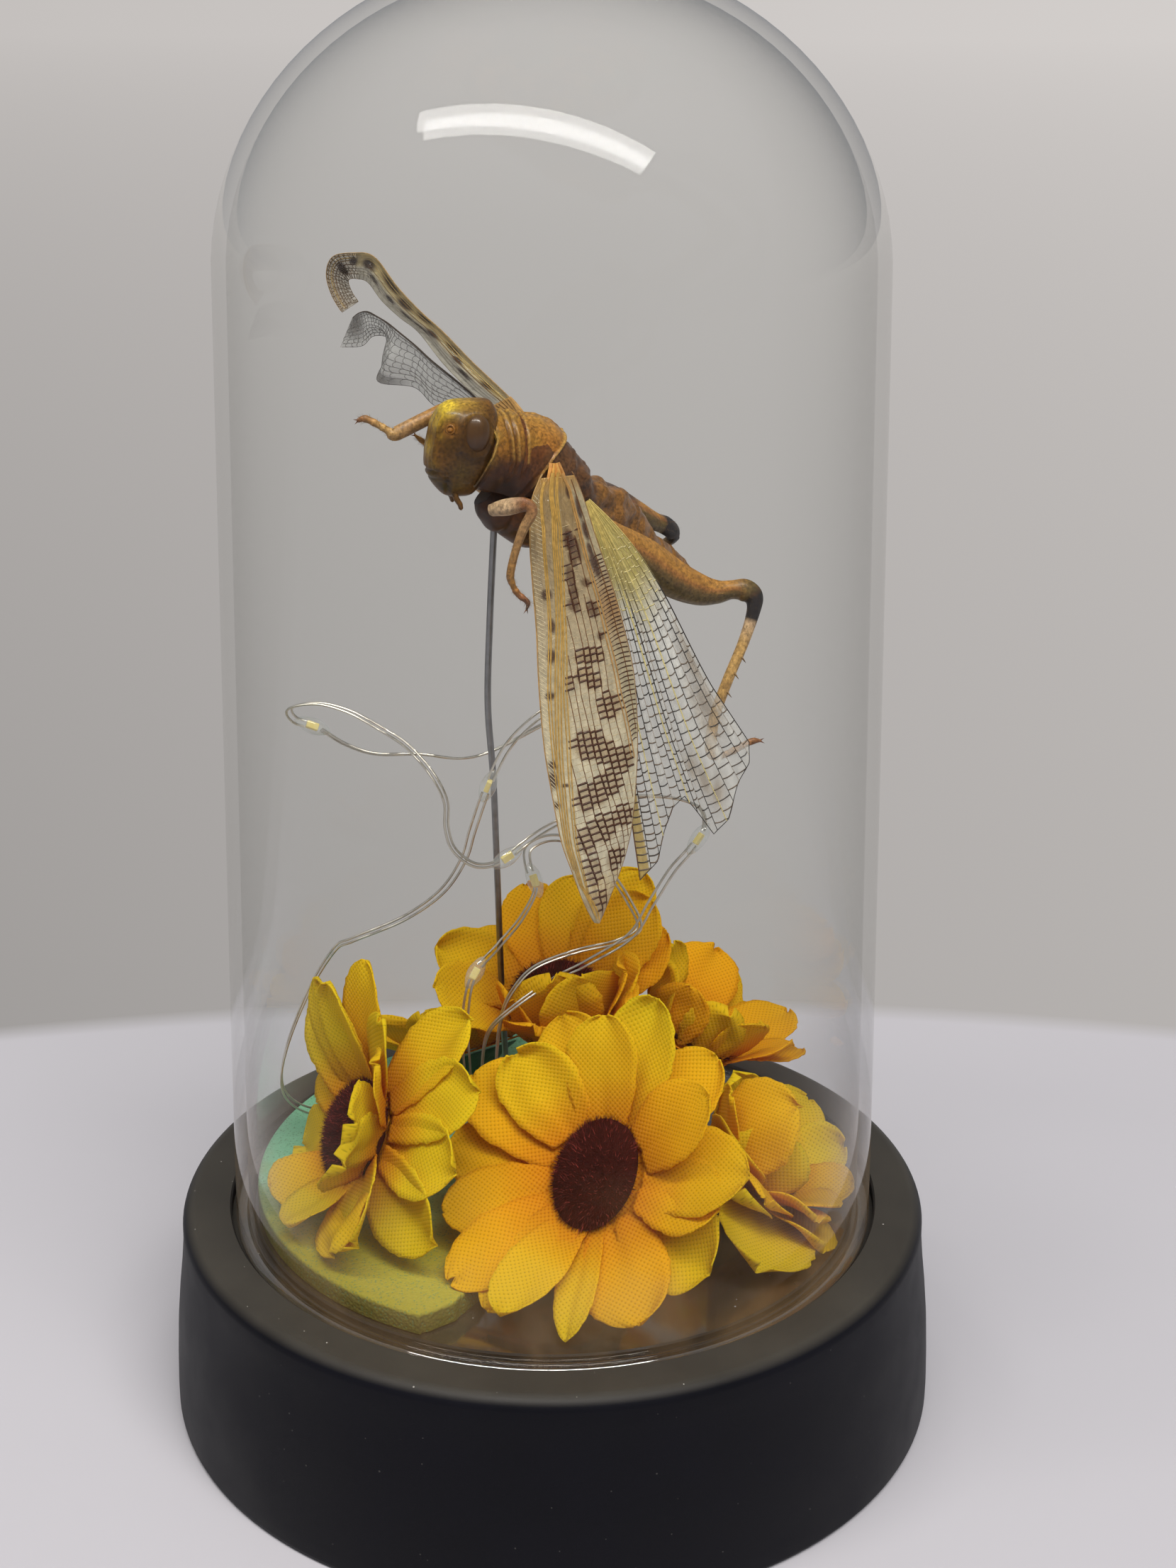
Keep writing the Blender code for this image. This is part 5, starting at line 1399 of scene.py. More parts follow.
# %% Outline of the near hindwing
HIND_ROOT = (2.6, 4.3)
HIND_EDGE = [
    (52.8, 7), (50.6, 9.4), (47, 10.9), (43.8, 12.2), (42.7, 14.2), (45, 15.6), (48.2, 17.8), (46.4, 19.8),
    (42, 21.8), (39.4, 23.4), (36.8, 23.9)]
RAYS = 17
edge_rows = np.array(HIND_EDGE)


def hind_edge(v):
    u = v * (len(HIND_EDGE) - 1)
    return tuple(read_off(u, range(len(HIND_EDGE)), edge_rows[:, k]) for k in (0, 1))


def near_hind(u, v, lift=0.0):
    """u runs from the root to the outer edge, v from the leading edge to the rear edge."""
    span, chord = hind_edge(v)
    bow = 2.4 * v * sin(pi * min(1.0, 1.3 * u)) * (1 - u)
    pleat = 0.3 * cos(pi * v * (len(HIND_EDGE) - 1)) * u
    s = HIND_ROOT[0] + (span - HIND_ROOT[0]) * u - 0.5 * bow
    c = HIND_ROOT[1] + (chord - HIND_ROOT[1]) * u + bow
    return HINGE + SPAN * s + CHORD * c + BACK * (1.1 + pleat - lift)


def ray_length(v):
    span, chord = hind_edge(v)
    return hypot(span - HIND_ROOT[0], chord - HIND_ROOT[1])

# %% Its rays and rungs
DARK_RAYS = {0: 0.14, 1: 0.09, 2: 0.08, 4: 0.09, 6: 0.08, 8: 0.09, 10: 0.085, 12: 0.08, 14: 0.075, 16: 0.1}
PALE_RAYS = {3: 0.12, 7: 0.13, 11: 0.12}
GREY, STRAW = (0.022, 0.018, 0.015), (0.56, 0.47, 0.2)
hind = Ribs()
rng = random.Random(8)
for r in range(RAYS):
    v = r / (RAYS - 1)
    radius = DARK_RAYS.get(r, PALE_RAYS.get(r, 0.045))
    line = [near_hind(0.02 + 0.98 * k / 70, v, 0.03) for k in range(71)]
    radii, tints = [], []
    for k in range(71):
        u = k / 70
        own = Vector(GREY) if r in DARK_RAYS else Vector(STRAW) if r in PALE_RAYS else Vector((0.26, 0.2, 0.14))
        if r == 0:
            own = blend((0.16, 0.075, 0.03), VEIN_DARK, max(0.0, u - 0.5))
        tints.append(tuple(blend((0.5, 0.38, 0.12), own, clamp((u - 0.12) / 0.25))))
        radii.append(radius * (1.0 - 0.45 * u))
    hind.add(line, radii, tints, -BACK)
for r in range(RAYS - 1):
    v0, v1 = r / (RAYS - 1), (r + 1) / (RAYS - 1)
    reach = hind_edge(0.5 * (v0 + v1))[0] - HIND_ROOT[0]
    step = (1.35 if r > 1 else 0.95) / reach
    u = 0.16 + rng.uniform(0, step)
    while u < 0.995:
        a, b = near_hind(u, v0), near_hind(u, v1)
        wide = (b - a).length
        if wide > 0.35:
            sag = rng.uniform(0.04, 0.14) * min(wide, 1.2)
            skew = rng.uniform(-0.1, 0.1) * step
            line = []
            for f in (0.0, 0.25, 0.5, 0.75, 1.0):
                out = (u + skew * f + sag / reach * sin(pi * f)) * ray_length(v0)
                v = v0 + (v1 - v0) * f
                line.append(near_hind(min(1.0, out / ray_length(v)), v, 0.02))
            tint = blend(GREY, (0.12, 0.08, 0.05), rng.random() * 0.8)
            if u < 0.38:
                tint = blend(tint, (0.5, 0.42, 0.18), 0.8)
            hind.add(line, [0.085 if r > 1 else 0.1] * 5, [tuple(tint)] * 5, -BACK)
        u += step * rng.uniform(0.8, 1.2)
rim = [near_hind(1.0, k / 200, 0.02) for k in range(201)]
hind.add(rim, [0.055] * 201, [GREY] * 201, -BACK)
STAINS = [  # cloudy brown stains: share along, share across, and size
    (0.8, 0.62, 0.05, 0.05), (0.86, 0.66, 0.06, 0.04), (0.92, 0.7, 0.04, 0.05), (0.74, 0.86, 0.1, 0.08),
    (0.62, 0.9, 0.1, 0.06)]

# %% Film of the near hindwing
def hind_tone(u, v):
    colour = blend((0.78, 0.76, 0.7), (0.5, 0.41, 0.13), clamp((0.44 - u) / 0.18))
    if v < 0.06:
        colour = Vector((0.52, 0.38, 0.12))
    return blend(colour, (0.3, 0.21, 0.11), 0.8 * soft_spots(STAINS, u, v, 0.7))


def hind_cover(u, v):
    cover = read_off(u, (0.0, 0.28, 0.42, 0.6, 1.0), (0.92, 0.75, 0.26, 0.13, 0.1))
    panel = 0.28 * max(0.0, sin(v * 50)) ** 3 * (0.3 < u < 0.9)
    rear = 0.3 if v > 0.9 and u < 0.55 else 0.16 if v > 0.7 else 0.0
    lead = 0.75 * (v < 0.06)
    return min(0.96, max(cover + panel + rear, lead, 0.45 * soft_spots(STAINS, u, v, 0.7)))


clear_film = film_material("hind_membrane", (0.97, 0.97, 0.96, 1.0))
sheet = film_sheet("near_hindwing_film", lambda u, v: near_hind(0.02 + 0.98 * u, v), 180, 100, hind_tone, hind_cover,
                   lambda u, v: (v * 18.0, u * 46.0))
place(sheet, clear_film, "hind_membrane", "locust_near_hindwing")
place(hind.mesh("near_hindwing_veins"), rib, "hind_membrane")

# %% [markdown]
# The far pair is raised behind the head.  The forewing is seen almost edge on: a narrow band of
# ochre veins with dark spots that ends in a curled, netted tip.  The hindwing below it is grey,
# clear and torn into hanging strips.

# %% Outlines of the far wings, as (leading edge, trailing edge) from the root to the tip
FAR_FORE = [
    ((-4.4, 3.6, 142.9), (-6.4, 5.4, 141.4)), ((-7.3, 6, 145.2), (-10.4, 9.5, 143.3)),
    ((-10.6, 9, 147.7), (-14.5, 13, 146.6)), ((-14.4, 12, 151), (-17.9, 16.5, 150.1)),
    ((-17.6, 14.5, 153.4), (-20.6, 19, 151.7)), ((-20.6, 17, 156.1), (-23.1, 21.5, 153.5)),
    ((-23.8, 20, 159.6), (-25, 23, 155.7)), ((-26.8, 22, 159.8), (-26.5, 24.2, 156)),
    ((-29.6, 23.4, 159.1), (-27.5, 24.8, 155.9)), ((-30.6, 24, 156.8), (-27.7, 25.2, 155.3)),
    ((-30, 24, 154), (-27.2, 25.2, 154)), ((-28.6, 23.6, 151.6), (-26.4, 24.8, 152.9))]
FAR_HIND = [
    ((-6.6, 6.4, 140), (-7.4, 7.2, 139)), ((-11.2, 11.2, 143.4), (-12.3, 13.8, 140.3)),
    ((-16.1, 16, 146.4), (-16.1, 19, 139.8)), ((-18.4, 18.4, 148), (-19, 21.5, 141.8)),
    ((-20.9, 20.6, 149.6), (-24.2, 24, 142.2)), ((-22.4, 22, 150.5), (-22.5, 24, 146)),
    ((-23.9, 23, 151.2), (-22.6, 24.2, 148)), ((-25.2, 23.8, 151.7), (-24.6, 24.6, 148.2)),
    ((-26.4, 24.4, 151.4), (-26.2, 25.2, 146.8)), ((-27.4, 24.8, 150.6), (-29.2, 25.4, 146.6))]

# %% One far wing
def strip_surface(pairs, fold):
    """A surface between two rows of points; u runs along them and v across, with shallow folds."""
    table = blend_rows([(*lead, *trail) for lead, trail in pairs], 120)

    def surface(u, v, lift=0.0):
        row = [read_off(u * 119, range(120), table[:, k]) for k in range(6)]
        lead, trail = Vector(row[:3]), Vector(row[3:])
        ahead = min(1.0, u + 0.02)
        row2 = [read_off(ahead * 119, range(120), table[:, k]) for k in range(3)]
        up = (trail - lead).cross(Vector(row2) - lead)
        up = up.normalized() if up.length > 1e-6 else Vector((0, -1, 0))
        wave = fold * sin(v * 9) * sin(pi * min(1, u * 1.05)) + lift
        return blend(lead, trail, v) + up * wave
    return surface


def far_wing(name, surface, veins, rungs, tone_of, cover_of, material, slot, length, hinge):
    """Veins are (v, radius, colour); rungs are (first v, last v, step, radius, colour, first u)."""
    net = Ribs()
    face = Vector((0.25, -0.9, 0.3))
    for v, radius, tint in veins:
        line = [surface(0.01 + 0.98 * k / 80, v, 0.03) for k in range(81)]
        net.add(line, [radius * (1 - 0.4 * k / 80) for k in range(81)], [tint] * 81, face)
    for k in range(7):  # the thick veins of the root run together at the hinge
        end = surface(0.04, k / 6)
        line = [blend(hinge, end, f / 5) + Vector((0, 0, 0.5)) * sin(pi * f / 5) for f in range(6)]
        net.add(line, [0.55 - 0.06 * f for f in range(6)], [(0.34, 0.19, 0.06)] * 6, face)
    for start, end, step, radius, tint, from_u in rungs:
        u = from_u
        while u < 0.99:
            f = rng.uniform(-0.25, 0.25) * step
            line = [surface(clamp(u + f * k / 3 + 0.3 * step * sin(pi * k / 3)),
                            start + (end - start) * k / 3, 0.02) for k in range(4)]
            net.add(line, [radius] * 4, [tint] * 4, face)
            u += step * rng.uniform(0.75, 1.25)
    sheet = film_sheet(name + "_film", surface, 150, 36, tone_of, cover_of, lambda u, v: (v * 7.0, u * length))
    place(sheet, material, slot, f"locust_{name}")
    place(net.mesh(name + "_veins"), rib, slot)

# %% Far wings
FAR_SPOTS = [  # share along, share across, half length, half width
    (0.1, 0.3, 0.018, 0.1), (0.15, 0.62, 0.02, 0.1), (0.19, 0.4, 0.015, 0.1), (0.27, 0.45, 0.02, 0.1),
    (0.36, 0.62, 0.03, 0.1), (0.44, 0.6, 0.02, 0.12), (0.52, 0.66, 0.025, 0.12), (0.33, 0.2, 0.03, 0.1),
    (0.4, 0.3, 0.03, 0.12), (0.47, 0.22, 0.035, 0.12), (0.56, 0.35, 0.03, 0.15), (0.64, 0.3, 0.02, 0.15),
    (0.22, 0.25, 0.02, 0.1), (0.72, 0.55, 0.035, 0.3), (0.3, 0.62, 0.04, 0.08)]


def far_tone(u, v):
    colour = blend((0.66, 0.54, 0.28), (0.7, 0.66, 0.54), clamp((v - 0.4) / 0.15))
    if u > 0.6:
        colour = blend(colour, (0.3, 0.24, 0.17), min(1.0, (u - 0.6) / 0.06))
    return blend(colour, (0.06, 0.028, 0.014), 0.95 * soft_spots(FAR_SPOTS, u, v, 0.35))


def far_cover(u, v):
    cover = 0.92 if v < 0.45 else 0.62
    if u > 0.62:
        cover = 0.42 if noise.noise(Vector((u * 60, v * 5, 3.0))) + 0.6 * (v - 0.5) < 0.35 else 0.04
    return max(cover, 0.95 * soft_spots(FAR_SPOTS, u, v, 0.35))


rng = random.Random(11)
BROWN_NET = (0.12, 0.075, 0.045)
far_wing("far_forewing", strip_surface(FAR_FORE, 0.22),
         [(0.0, 0.09, (0.3, 0.19, 0.08)), (0.1, 0.08, VEIN_OCHRE), (0.22, 0.12, (0.56, 0.4, 0.14)),
          (0.3, 0.1, VEIN_OCHRE), (0.42, 0.1, VEIN_BROWN), (0.55, 0.07, BROWN_NET), (0.68, 0.06, BROWN_NET),
          (0.82, 0.06, BROWN_NET), (1.0, 0.05, (0.3, 0.2, 0.09))],
         [(0.0, 0.1, 0.022, 0.045, VEIN_BROWN, 0.1)]
         + [(v0, v1, 0.024, 0.05, BROWN_NET, 0.1)
            for v0, v1 in ((0.42, 0.55), (0.55, 0.68), (0.68, 0.82), (0.82, 1.0))]
         + [(v0, v1, 0.02, 0.055, BROWN_NET, 0.6) for v0, v1 in ((0.0, 0.22), (0.22, 0.42))],
         far_tone, far_cover, membrane, "wing_membrane", 48.0, (-2.4, 1.0, 139.4))
GREY_NET = (0.1, 0.085, 0.075)
SMOKE = [(0.44, 0.95, 0.06, 0.1), (0.93, 0.3, 0.08, 0.4)]
far_wing("far_hindwing", strip_surface(FAR_HIND, 0.3),
         [(0.0, 0.14, (0.055, 0.04, 0.03)), (0.06, 0.07, GREY_NET)]
         + [(k / 8, 0.05, GREY_NET) for k in range(1, 9)],
         [(k / 8, (k + 1) / 8, 0.03, 0.04, GREY_NET, 0.12 + 0.01 * k) for k in range(8)],
         lambda u, v: blend((0.62, 0.61, 0.58), (0.14, 0.12, 0.1), 0.8 * soft_spots(SMOKE, u, v, 0.6)),
         lambda u, v: 0.3 + 0.35 * soft_spots(SMOKE, u, v, 0.6),
         clear_film, "hind_membrane", 34.0, (-2.6, 1.6, 137.6))

# %% [markdown]
# ## The cloth sunflowers
#
# Each flower is a ring of petals stamped from stiffened cloth, a button covered with burgundy
# flock, and a green plastic stem.  A petal is a bowed strip: a flat grid whose rows follow a rising
# line, get wider and narrower, and lift at both sides.  The grid keeps flat cloth coordinates in
# millimetres, so that the weave runs along the petal whichever way it bends.

# %% Where the flowers stand
FRONT_PETALS = [
    (99, 15.5, 8.4, 12, -10), (62, 17, 8, 17, -6), (38, 14.5, 8.4, 8, -14), (-6, 14, 10, 12, -14),
    (-42, 12.5, 10.4, -6, -6), (-75, 13.6, 9.6, 4, -2), (-99, 15.2, 4.6, 14, -4), (-121, 15.6, 6.4, 28, -8),
    (-146, 16.5, 7.6, 27, -16), (-171, 14, 8, 16, -8), (164, 14.5, 8.4, 8, -8), (138, 15.5, 8.8, 14, -4)]
LEFT_PETALS = [
    (90, 15.5, 7, 36, -8), (62, 16.5, 7, 40, -30), (27, 16, 8.8, -2, -12), (0, 15.5, 8.8, -4, -10),
    (-29, 14, 8.8, -2, -12), (-58, 15, 9, -10, -10), (-86, 12.2, 8.8, 30, -14), (-118, 9.5, 7.4, 46, -8),
    (-150, 8.5, 7.4, 46, -8), (164, 13, 7.6, -10, -8), (126, 12.5, 7.6, -4, -8)]
RIGHT_PETALS = [
    (96, 11, 7.8, -18, -8), (58, 10.5, 7.6, 18, -8), (20, 8.5, 7.4, 40, -8), (-14, 8.5, 7.4, 52, -8),
    (-46, 9, 8, 66, -24), (-78, 12, 9, 66, -44), (-110, 13, 9.4, 66, -50), (-142, 12, 9, 70, -40),
    (-174, 10, 8, 74, -20), (134, 7, 7.4, 64, -8)]
CENTRE_PETALS = [
    (104, 12.5, 7.8, 18, -8), (80, 12.5, 7.8, 22, -8), (57, 16, 7.6, 32, -8), (28, 11.5, 8, 32, -8),
    (-6, 9.5, 8.6, 78, -30), (-40, 10.5, 9, 84, -40), (-70, 8, 7.8, 74, -8), (-104, 9, 9, 82, -24),
    (-140, 7.5, 8.2, 86, -10), (-174, 12.5, 8.2, 39, -8), (134, 12.5, 8.2, -8, -8)]
REAR_RIGHT_PETALS = [
    (104, 13.5, 7.8, 26, -8), (78, 14.5, 7.6, 28, -8), (52, 12.5, 7.6, 20, -8), (22, 11.5, 7.6, 22, -8),
    (-12, 9, 7.4, 50, -8), (-46, 8, 7.2, 72, -8), (-84, 8, 7.2, 74, -8), (-124, 8, 7.2, 74, -8),
    (-164, 8.5, 7.4, 74, -8), (140, 9, 7.6, 68, -8)]
REAR_PETALS = [(36 * k, 11.0, 7.4, 40 + 5 * (-1) ** k, -8) for k in range(10)]
# a second, shorter row stands up inside the first and leans over the button
INNER_PETALS = {
    "front": [
        (20, 12.5, 8.8, 30, -14), (80, 13.5, 8.4, 30, -16), (118, 12.5, 8.6, 26, -14), (-131, 15, 7.4, 14, -2),
        (-20, 11, 8.6, 6, -8)],
    "left": [
        (36, 11.5, 6.6, 34, -10), (12, 10, 8, 44, -6), (-18, 9, 8.8, 66, -24), (-46, 8.5, 9.4, 70, -36),
        (-72, 12, 9.4, 26, -26), (106, 15, 7.2, 16, -10), (74, 14, 6.2, 44, -14)],
    "right": [
        (-160, 13, 11, 84, 30), (-112, 9, 9, 84, 24), (-96, 16, 11.6, 22, -26), (-66, 11.5, 10, 32, -14),
        (-124, 13, 10.4, 40, -24)],
    "centre": [
        (-14, 11, 9.6, 74, 8), (-54, 12, 10.4, 88, 14), (-94, 12, 10.4, 92, 18), (160, 12, 8.6, 30, -10),
        (42, 13, 8.2, 40, -10)],
    "rear_right": [(90, 12.5, 8.6, 44, -10), (34, 11, 8.6, 40, -10)],
    "rear": [],
}
FOAM_GRIP = FOAM_HIGH + 0.8
FLOWERS = {
    "front": (
        (6.1, -24, 45.3), (-0.4, -0.62, 0.68), FRONT_PETALS,
        [(9, -19, 40.2), (7.2, -14.6, 38.2), (4.8, -11.6, 36.6), (4.4, -11, FOAM_GRIP)]),
    "left": (
        (-26.1, -12, 45.3), (-0.78, -0.4, 0.48), LEFT_PETALS,
        [(-21.8, -9.8, 42), (-18.4, -7.6, 39), (-17.2, -7, 36.6), (-17, -7, FOAM_GRIP)]),
    "right": (
        (27.6, -6, 37), (0.6, -0.26, 0.76), RIGHT_PETALS, [(25, -4.4, 33.4), (22.4, -3, 32.4), (18.4, -1, 32.4)]),
    "centre": (
        (0.8, 6, 55.4), (0, -0.52, 0.85), CENTRE_PETALS, [(0.8, 8.8, 50), (0.8, 9.6, 44), (0.8, 9.8, FOAM_GRIP)]),
    "rear_right": (
        (19.6, 11.5, 48), (0.5, 0.1, 0.86), REAR_RIGHT_PETALS,
        [(17.2, 11, 43), (13.6, 10.2, 39.4), (12.2, 9.8, 36.8), (12, 9.6, FOAM_GRIP)]),
    "rear": (
        (-11.6, 21.6, 41), (-0.3, 0.42, 0.86), REAR_PETALS,
        [(-10.8, 20.6, 37.4), (-10.6, 20.2, 36), (-10.6, 20.2, FOAM_GRIP)]),
}
HUB, HUB_OF_SOLID, BUTTON, BUTTON_HEIGHT = 6.6, 7.9, 7.3, 3.4
FIBRES = 2600
OVAL_BUTTONS = {"front": (0.8, 1.06, -20)}
# how lemon, against orange, each flower's petals are: partly the cloth's dye and partly painted light, shaded flowers
# being more orange
LEMON = {"front": 0.62, "left": 0.9, "right": 0.75, "centre": 0.42, "rear_right": 0.45, "rear": 0.4}


def flower_turn(centre, normal):
    """The flower looks along its local Z; its local X is as near to world X as it can be."""
    facing = Vector(normal).normalized()
    side = (Vector((1, 0, 0)) - facing * facing.x).normalized()
    return standing(centre, side, facing.cross(side), facing)

# %% One petal
PETAL_ROWS, PETAL_COLUMNS, HUB_POINTS = 26, 13, 24
PETAL_OUTLINE = [
    (0, 0.6), (0.12, 0.72), (0.3, 0.9), (0.5, 0.99), (0.68, 1), (0.82, 0.88), (0.92, 0.64), (0.97, 0.42), (1, 0.14)]


def petal_grid(length, width, lift, curl, seed, layer):
    """Rows of points from the hub to the tip, with cloth coordinates and the share of the way along."""
    rng = random.Random(seed)
    cupping = rng.uniform(0.03, 0.17)
    twist = radians(rng.uniform(-14, 14))
    bend = rng.uniform(-0.1, 0.1)
    pointed = rng.uniform(0.0, 0.55)
    notch = rng.random() < 0.25
    reach = length + HUB_OF_SOLID - HUB
    points, cloth, along = [], [], []
    radial, height, last = HUB, 0.15 + 0.9 * layer, 0.0
    shares, widths = zip(*PETAL_OUTLINE)
    for i in range(PETAL_ROWS):
        t = sin(0.5 * pi * i / (PETAL_ROWS - 1)) ** 1.15
        slope = radians(lift + curl * t)
        radial += reach * (t - last) * cos(slope)
        height += reach * (t - last) * sin(slope)
        last = t
        half = 0.66 * width * read_off(t, shares, widths) * (1 - pointed * max(0.0, t - 0.55))
        for j in range(PETAL_COLUMNS):
            u = -1 + 2 * j / (PETAL_COLUMNS - 1)
            fray = 1 + 0.035 * rng.uniform(-1, 1) * (abs(u) > 0.99)
            wave = 0.16 * noise.noise(Vector((t * 2.2, u * 1.4, seed * 1.7)))
            rise = cupping * width * abs(u) ** 1.8 * min(1.0, 0.25 + t) + wave * width * t
            crease = -0.05 * width * exp(-(u / 0.14) ** 2) * (1 - t)
            y = u * half * fray + bend * width * t * t
            z = (rise + crease) * cos(slope) + y * sin(twist * t)
            x = radial - (rise + crease) * sin(slope)
            if i == PETAL_ROWS - 1 and j % 3:
                x += 0.35 * rng.uniform(-1, 0.4)
            if notch:
                x -= 1.1 * exp(-(u / 0.22) ** 2) * max(0.0, t - 0.8) / 0.2
            points.append(Vector((x, y * cos(twist * t), height + z)))
            cloth.append((u * half, reach * t))
            along.append(t)
    return points, cloth, along

# %% [markdown]
# The petals of a flower are one piece of cloth, so they are one mesh with a small round hub under
# the button.  A second, shorter row of petals stands inside the first.  The cloth is woven from
# coarse thread: the weave is a product of two waves, and light falls softly through it.  Its colour
# runs from orange to lemon and is partly the cloth's dye, partly painted light: the deeper orange
# near the hub and on some petals and flowers stands for shade, the lemon towards the tips for light
# falling through.  The threads carry a painted highlight and the gaps between them painted shade.

# %% The petals of one flower
def cloth_petals(name, centre, normal, petals):
    turn = flower_turn(centre, normal)
    points, cloth, along, petal_tints_and_light, faces = [], [], [], [], []
    rows = [(*each, 0.25 * (k % 2)) for k, each in enumerate(petals)] + [(*each, 1.0) for each in INNER_PETALS[name]]
    for k, (angle, length, width, lift, curl, layer) in enumerate(sorted(rows)):
        seed = 17 * k + len(name) * 101
        grid, flat, t = petal_grid(length, width, lift, curl, seed, layer)
        spin = turn @ Matrix.Rotation(radians(angle), 4, "Z")
        faces += grid_faces(PETAL_ROWS, PETAL_COLUMNS, len(points), looped=False)
        points += [spin @ p for p in grid]
        cloth += [(u + 20 * k, v) for u, v in flat]
        along += t
        # partly dye and partly painted light: each petal's share of lemon against orange, around its flower's
        petal_tints_and_light += [LEMON[name] + random.Random(seed).uniform(-0.32, 0.32)] * len(grid)
    ring = len(points)
    for k in range(HUB_POINTS):
        a = 2 * pi * k / HUB_POINTS
        points.append(turn @ Vector(((HUB + 0.6) * cos(a), (HUB + 0.6) * sin(a), -0.1)))
        cloth.append((200 + HUB * cos(a), HUB * sin(a)))
        along.append(0.0)
        petal_tints_and_light.append(0.5)
    faces.append(tuple(range(ring, ring + HUB_POINTS)))
    piece = new_mesh(f"flower_{name}_cloth", points, faces)
    lay_flat(piece, "cloth", cloth)
    paint(piece, "along", along)
    paint(piece, "shade", petal_tints_and_light)
    smooth(piece, 60)
    modify(piece, "SOLIDIFY", thickness=0.2 * MM, offset=0.0)
    return piece

# %% Yellow cloth
petal = Finish("petal_cloth", Roughness=0.9, Specular_IOR_Level=0.05)
flat = petal.node("UVMap", {"uv_map": "cloth"})
THREAD = 0.74  # distance between two threads of the weave, in millimetres
warp, weft = [petal.math("SINE", petal.times(petal.axis(flat, name), 2 * pi / THREAD)) for name in "XY"]
weave = petal.times(warp, weft)
slub = petal.noise(petal.stretch(flat, 0.5, 3.0, 1.0), 1.0, 3.0)
along = petal.number_of("along")
shade = petal.number_of("shade")
# partly dye and partly painted light: lemon towards the tips and on lit flowers, orange on shaded ones
lemon_dye_and_light = petal.times(along, 0.45, petal.times(shade, 1.0, -0.28))
sun = petal.mix(lemon_dye_and_light, (0.9, 0.37, 0.001), (0.8, 0.62, 0.01))
# partly dye and partly painted shade: the petals turn deep orange near the hub
throat_dye_and_shade = petal.ramp(petal.plus(along, petal.times(slub, 0.14)), (0.08, 0.0), (0.55, 1.0))
sun = petal.mix(throat_dye_and_shade, (0.72, 0.19, 0.002), sun)
# painted highlight: the threads are painted a lighter yellow
sun = petal.mix(petal.times(weave, 0.13, 0.17), sun, (0.9, 0.7, 0.04))
# painted shade: the gaps between the threads are painted darker
weave_gap_shade = petal.ramp(petal.times(weave, 0.5, 0.5), (0.0, 0.62), (0.25, 1.0))
sun = petal.dim(sun, weave_gap_shade)
relief = petal.plus(weave, petal.times(slub, 0.8))
petal.look(Base_Color=sun, Normal=petal.bump(relief, 0.35, 0.00012))
through = petal.node("BsdfTranslucent", Color=petal.dim(sun, (1.0, 0.8, 0.35)))
petal.show(petal.layers(0.45, petal.shader, through))
for name, (centre, normal, petals, stem_route) in FLOWERS.items():
    place(cloth_petals(name, centre, normal, petals), petal, "petal_cloth", f"flower_{name}_petals")

# %% [markdown]
# The middle is a domed button.  Its flock is made of short stiff fibres that stand up all over it
# and stick out as a fuzzy rim; a few of them are painted bright red, as painted glints where they
# catch the light.

# %% Flocked buttons
def flocked_button(name, centre, normal, seed):
    wide, tall, lean = OVAL_BUTTONS.get(name, (1.0, 1.0, 0.0))
    turn = flower_turn(centre, normal) @ Matrix.Rotation(radians(lean), 4, "Z") \
        @ Matrix.Diagonal((wide, tall, 1.0, 1.0))
    outline = [(0.0, 0.7), (BUTTON - 0.5, 0.7), (BUTTON, 1.15), (BUTTON - 0.15, 1.7), (0.86 * BUTTON, 2.35),
               (0.66 * BUTTON, 2.95), (0.42 * BUTTON, 3.3), (0.2 * BUTTON, BUTTON_HEIGHT - 0.02),
               (0.0, BUTTON_HEIGHT)]
    piece = spun(f"flower_{name}_button", outline, 40)
    for change in (Matrix.Diagonal((1 / MM, 1 / MM, 1 / MM, 1.0)), turn, Matrix.Scale(MM, 4)):
        piece.data.transform(change)
    tidy_normals(piece)
    smooth(piece, 60)
    paint(piece, "tint", [0.0] * len(piece.data.vertices))
    rng = random.Random(seed)
    points, faces, tints = [], [], []
    reach, rise = zip(*outline[2:])
    for _ in range(FIBRES):
        radius = BUTTON * sqrt(rng.uniform(0.0, 1.0))
        angle = rng.uniform(0, 2 * pi)
        height = read_off(radius, reach[::-1], rise[::-1])
        out = Vector((cos(angle), sin(angle), 0.0))
        lift = (radius / BUTTON) ** 3
        way = (out * (0.25 * radius / BUTTON + 1.6 * lift) + Vector((0, 0, 1.0 - 0.7 * lift))
               + Vector([rng.uniform(-0.55, 0.55) for axis in range(3)])).normalized()
        foot = out * radius + Vector((0, 0, height - 0.05))
        tip = foot + way * rng.uniform(0.5, 1.15)
        across = way.orthogonal().normalized() * 0.065
        over = way.cross(across)
        start = len(points)
        points += [turn @ p for p in (foot + across, foot - 0.5 * across + 0.8 * over,
                                      foot - 0.5 * across - 0.8 * over, tip)]
        faces += [(start, start + 1, start + 3), (start + 1, start + 2, start + 3), (start + 2, start, start + 3)]
        # painted glints: a few fibres get a high tint, which the flock finish turns bright red
        tints += [rng.random() ** 2] * 4
    fur = new_mesh(f"flower_{name}_fibres", points, faces)
    paint(fur, "tint", tints)
    return join(piece, fur)

# %% Burgundy flock
flock = Finish("flock_burgundy", Roughness=0.85, Specular_IOR_Level=0.06)
tint = flock.number_of("tint")
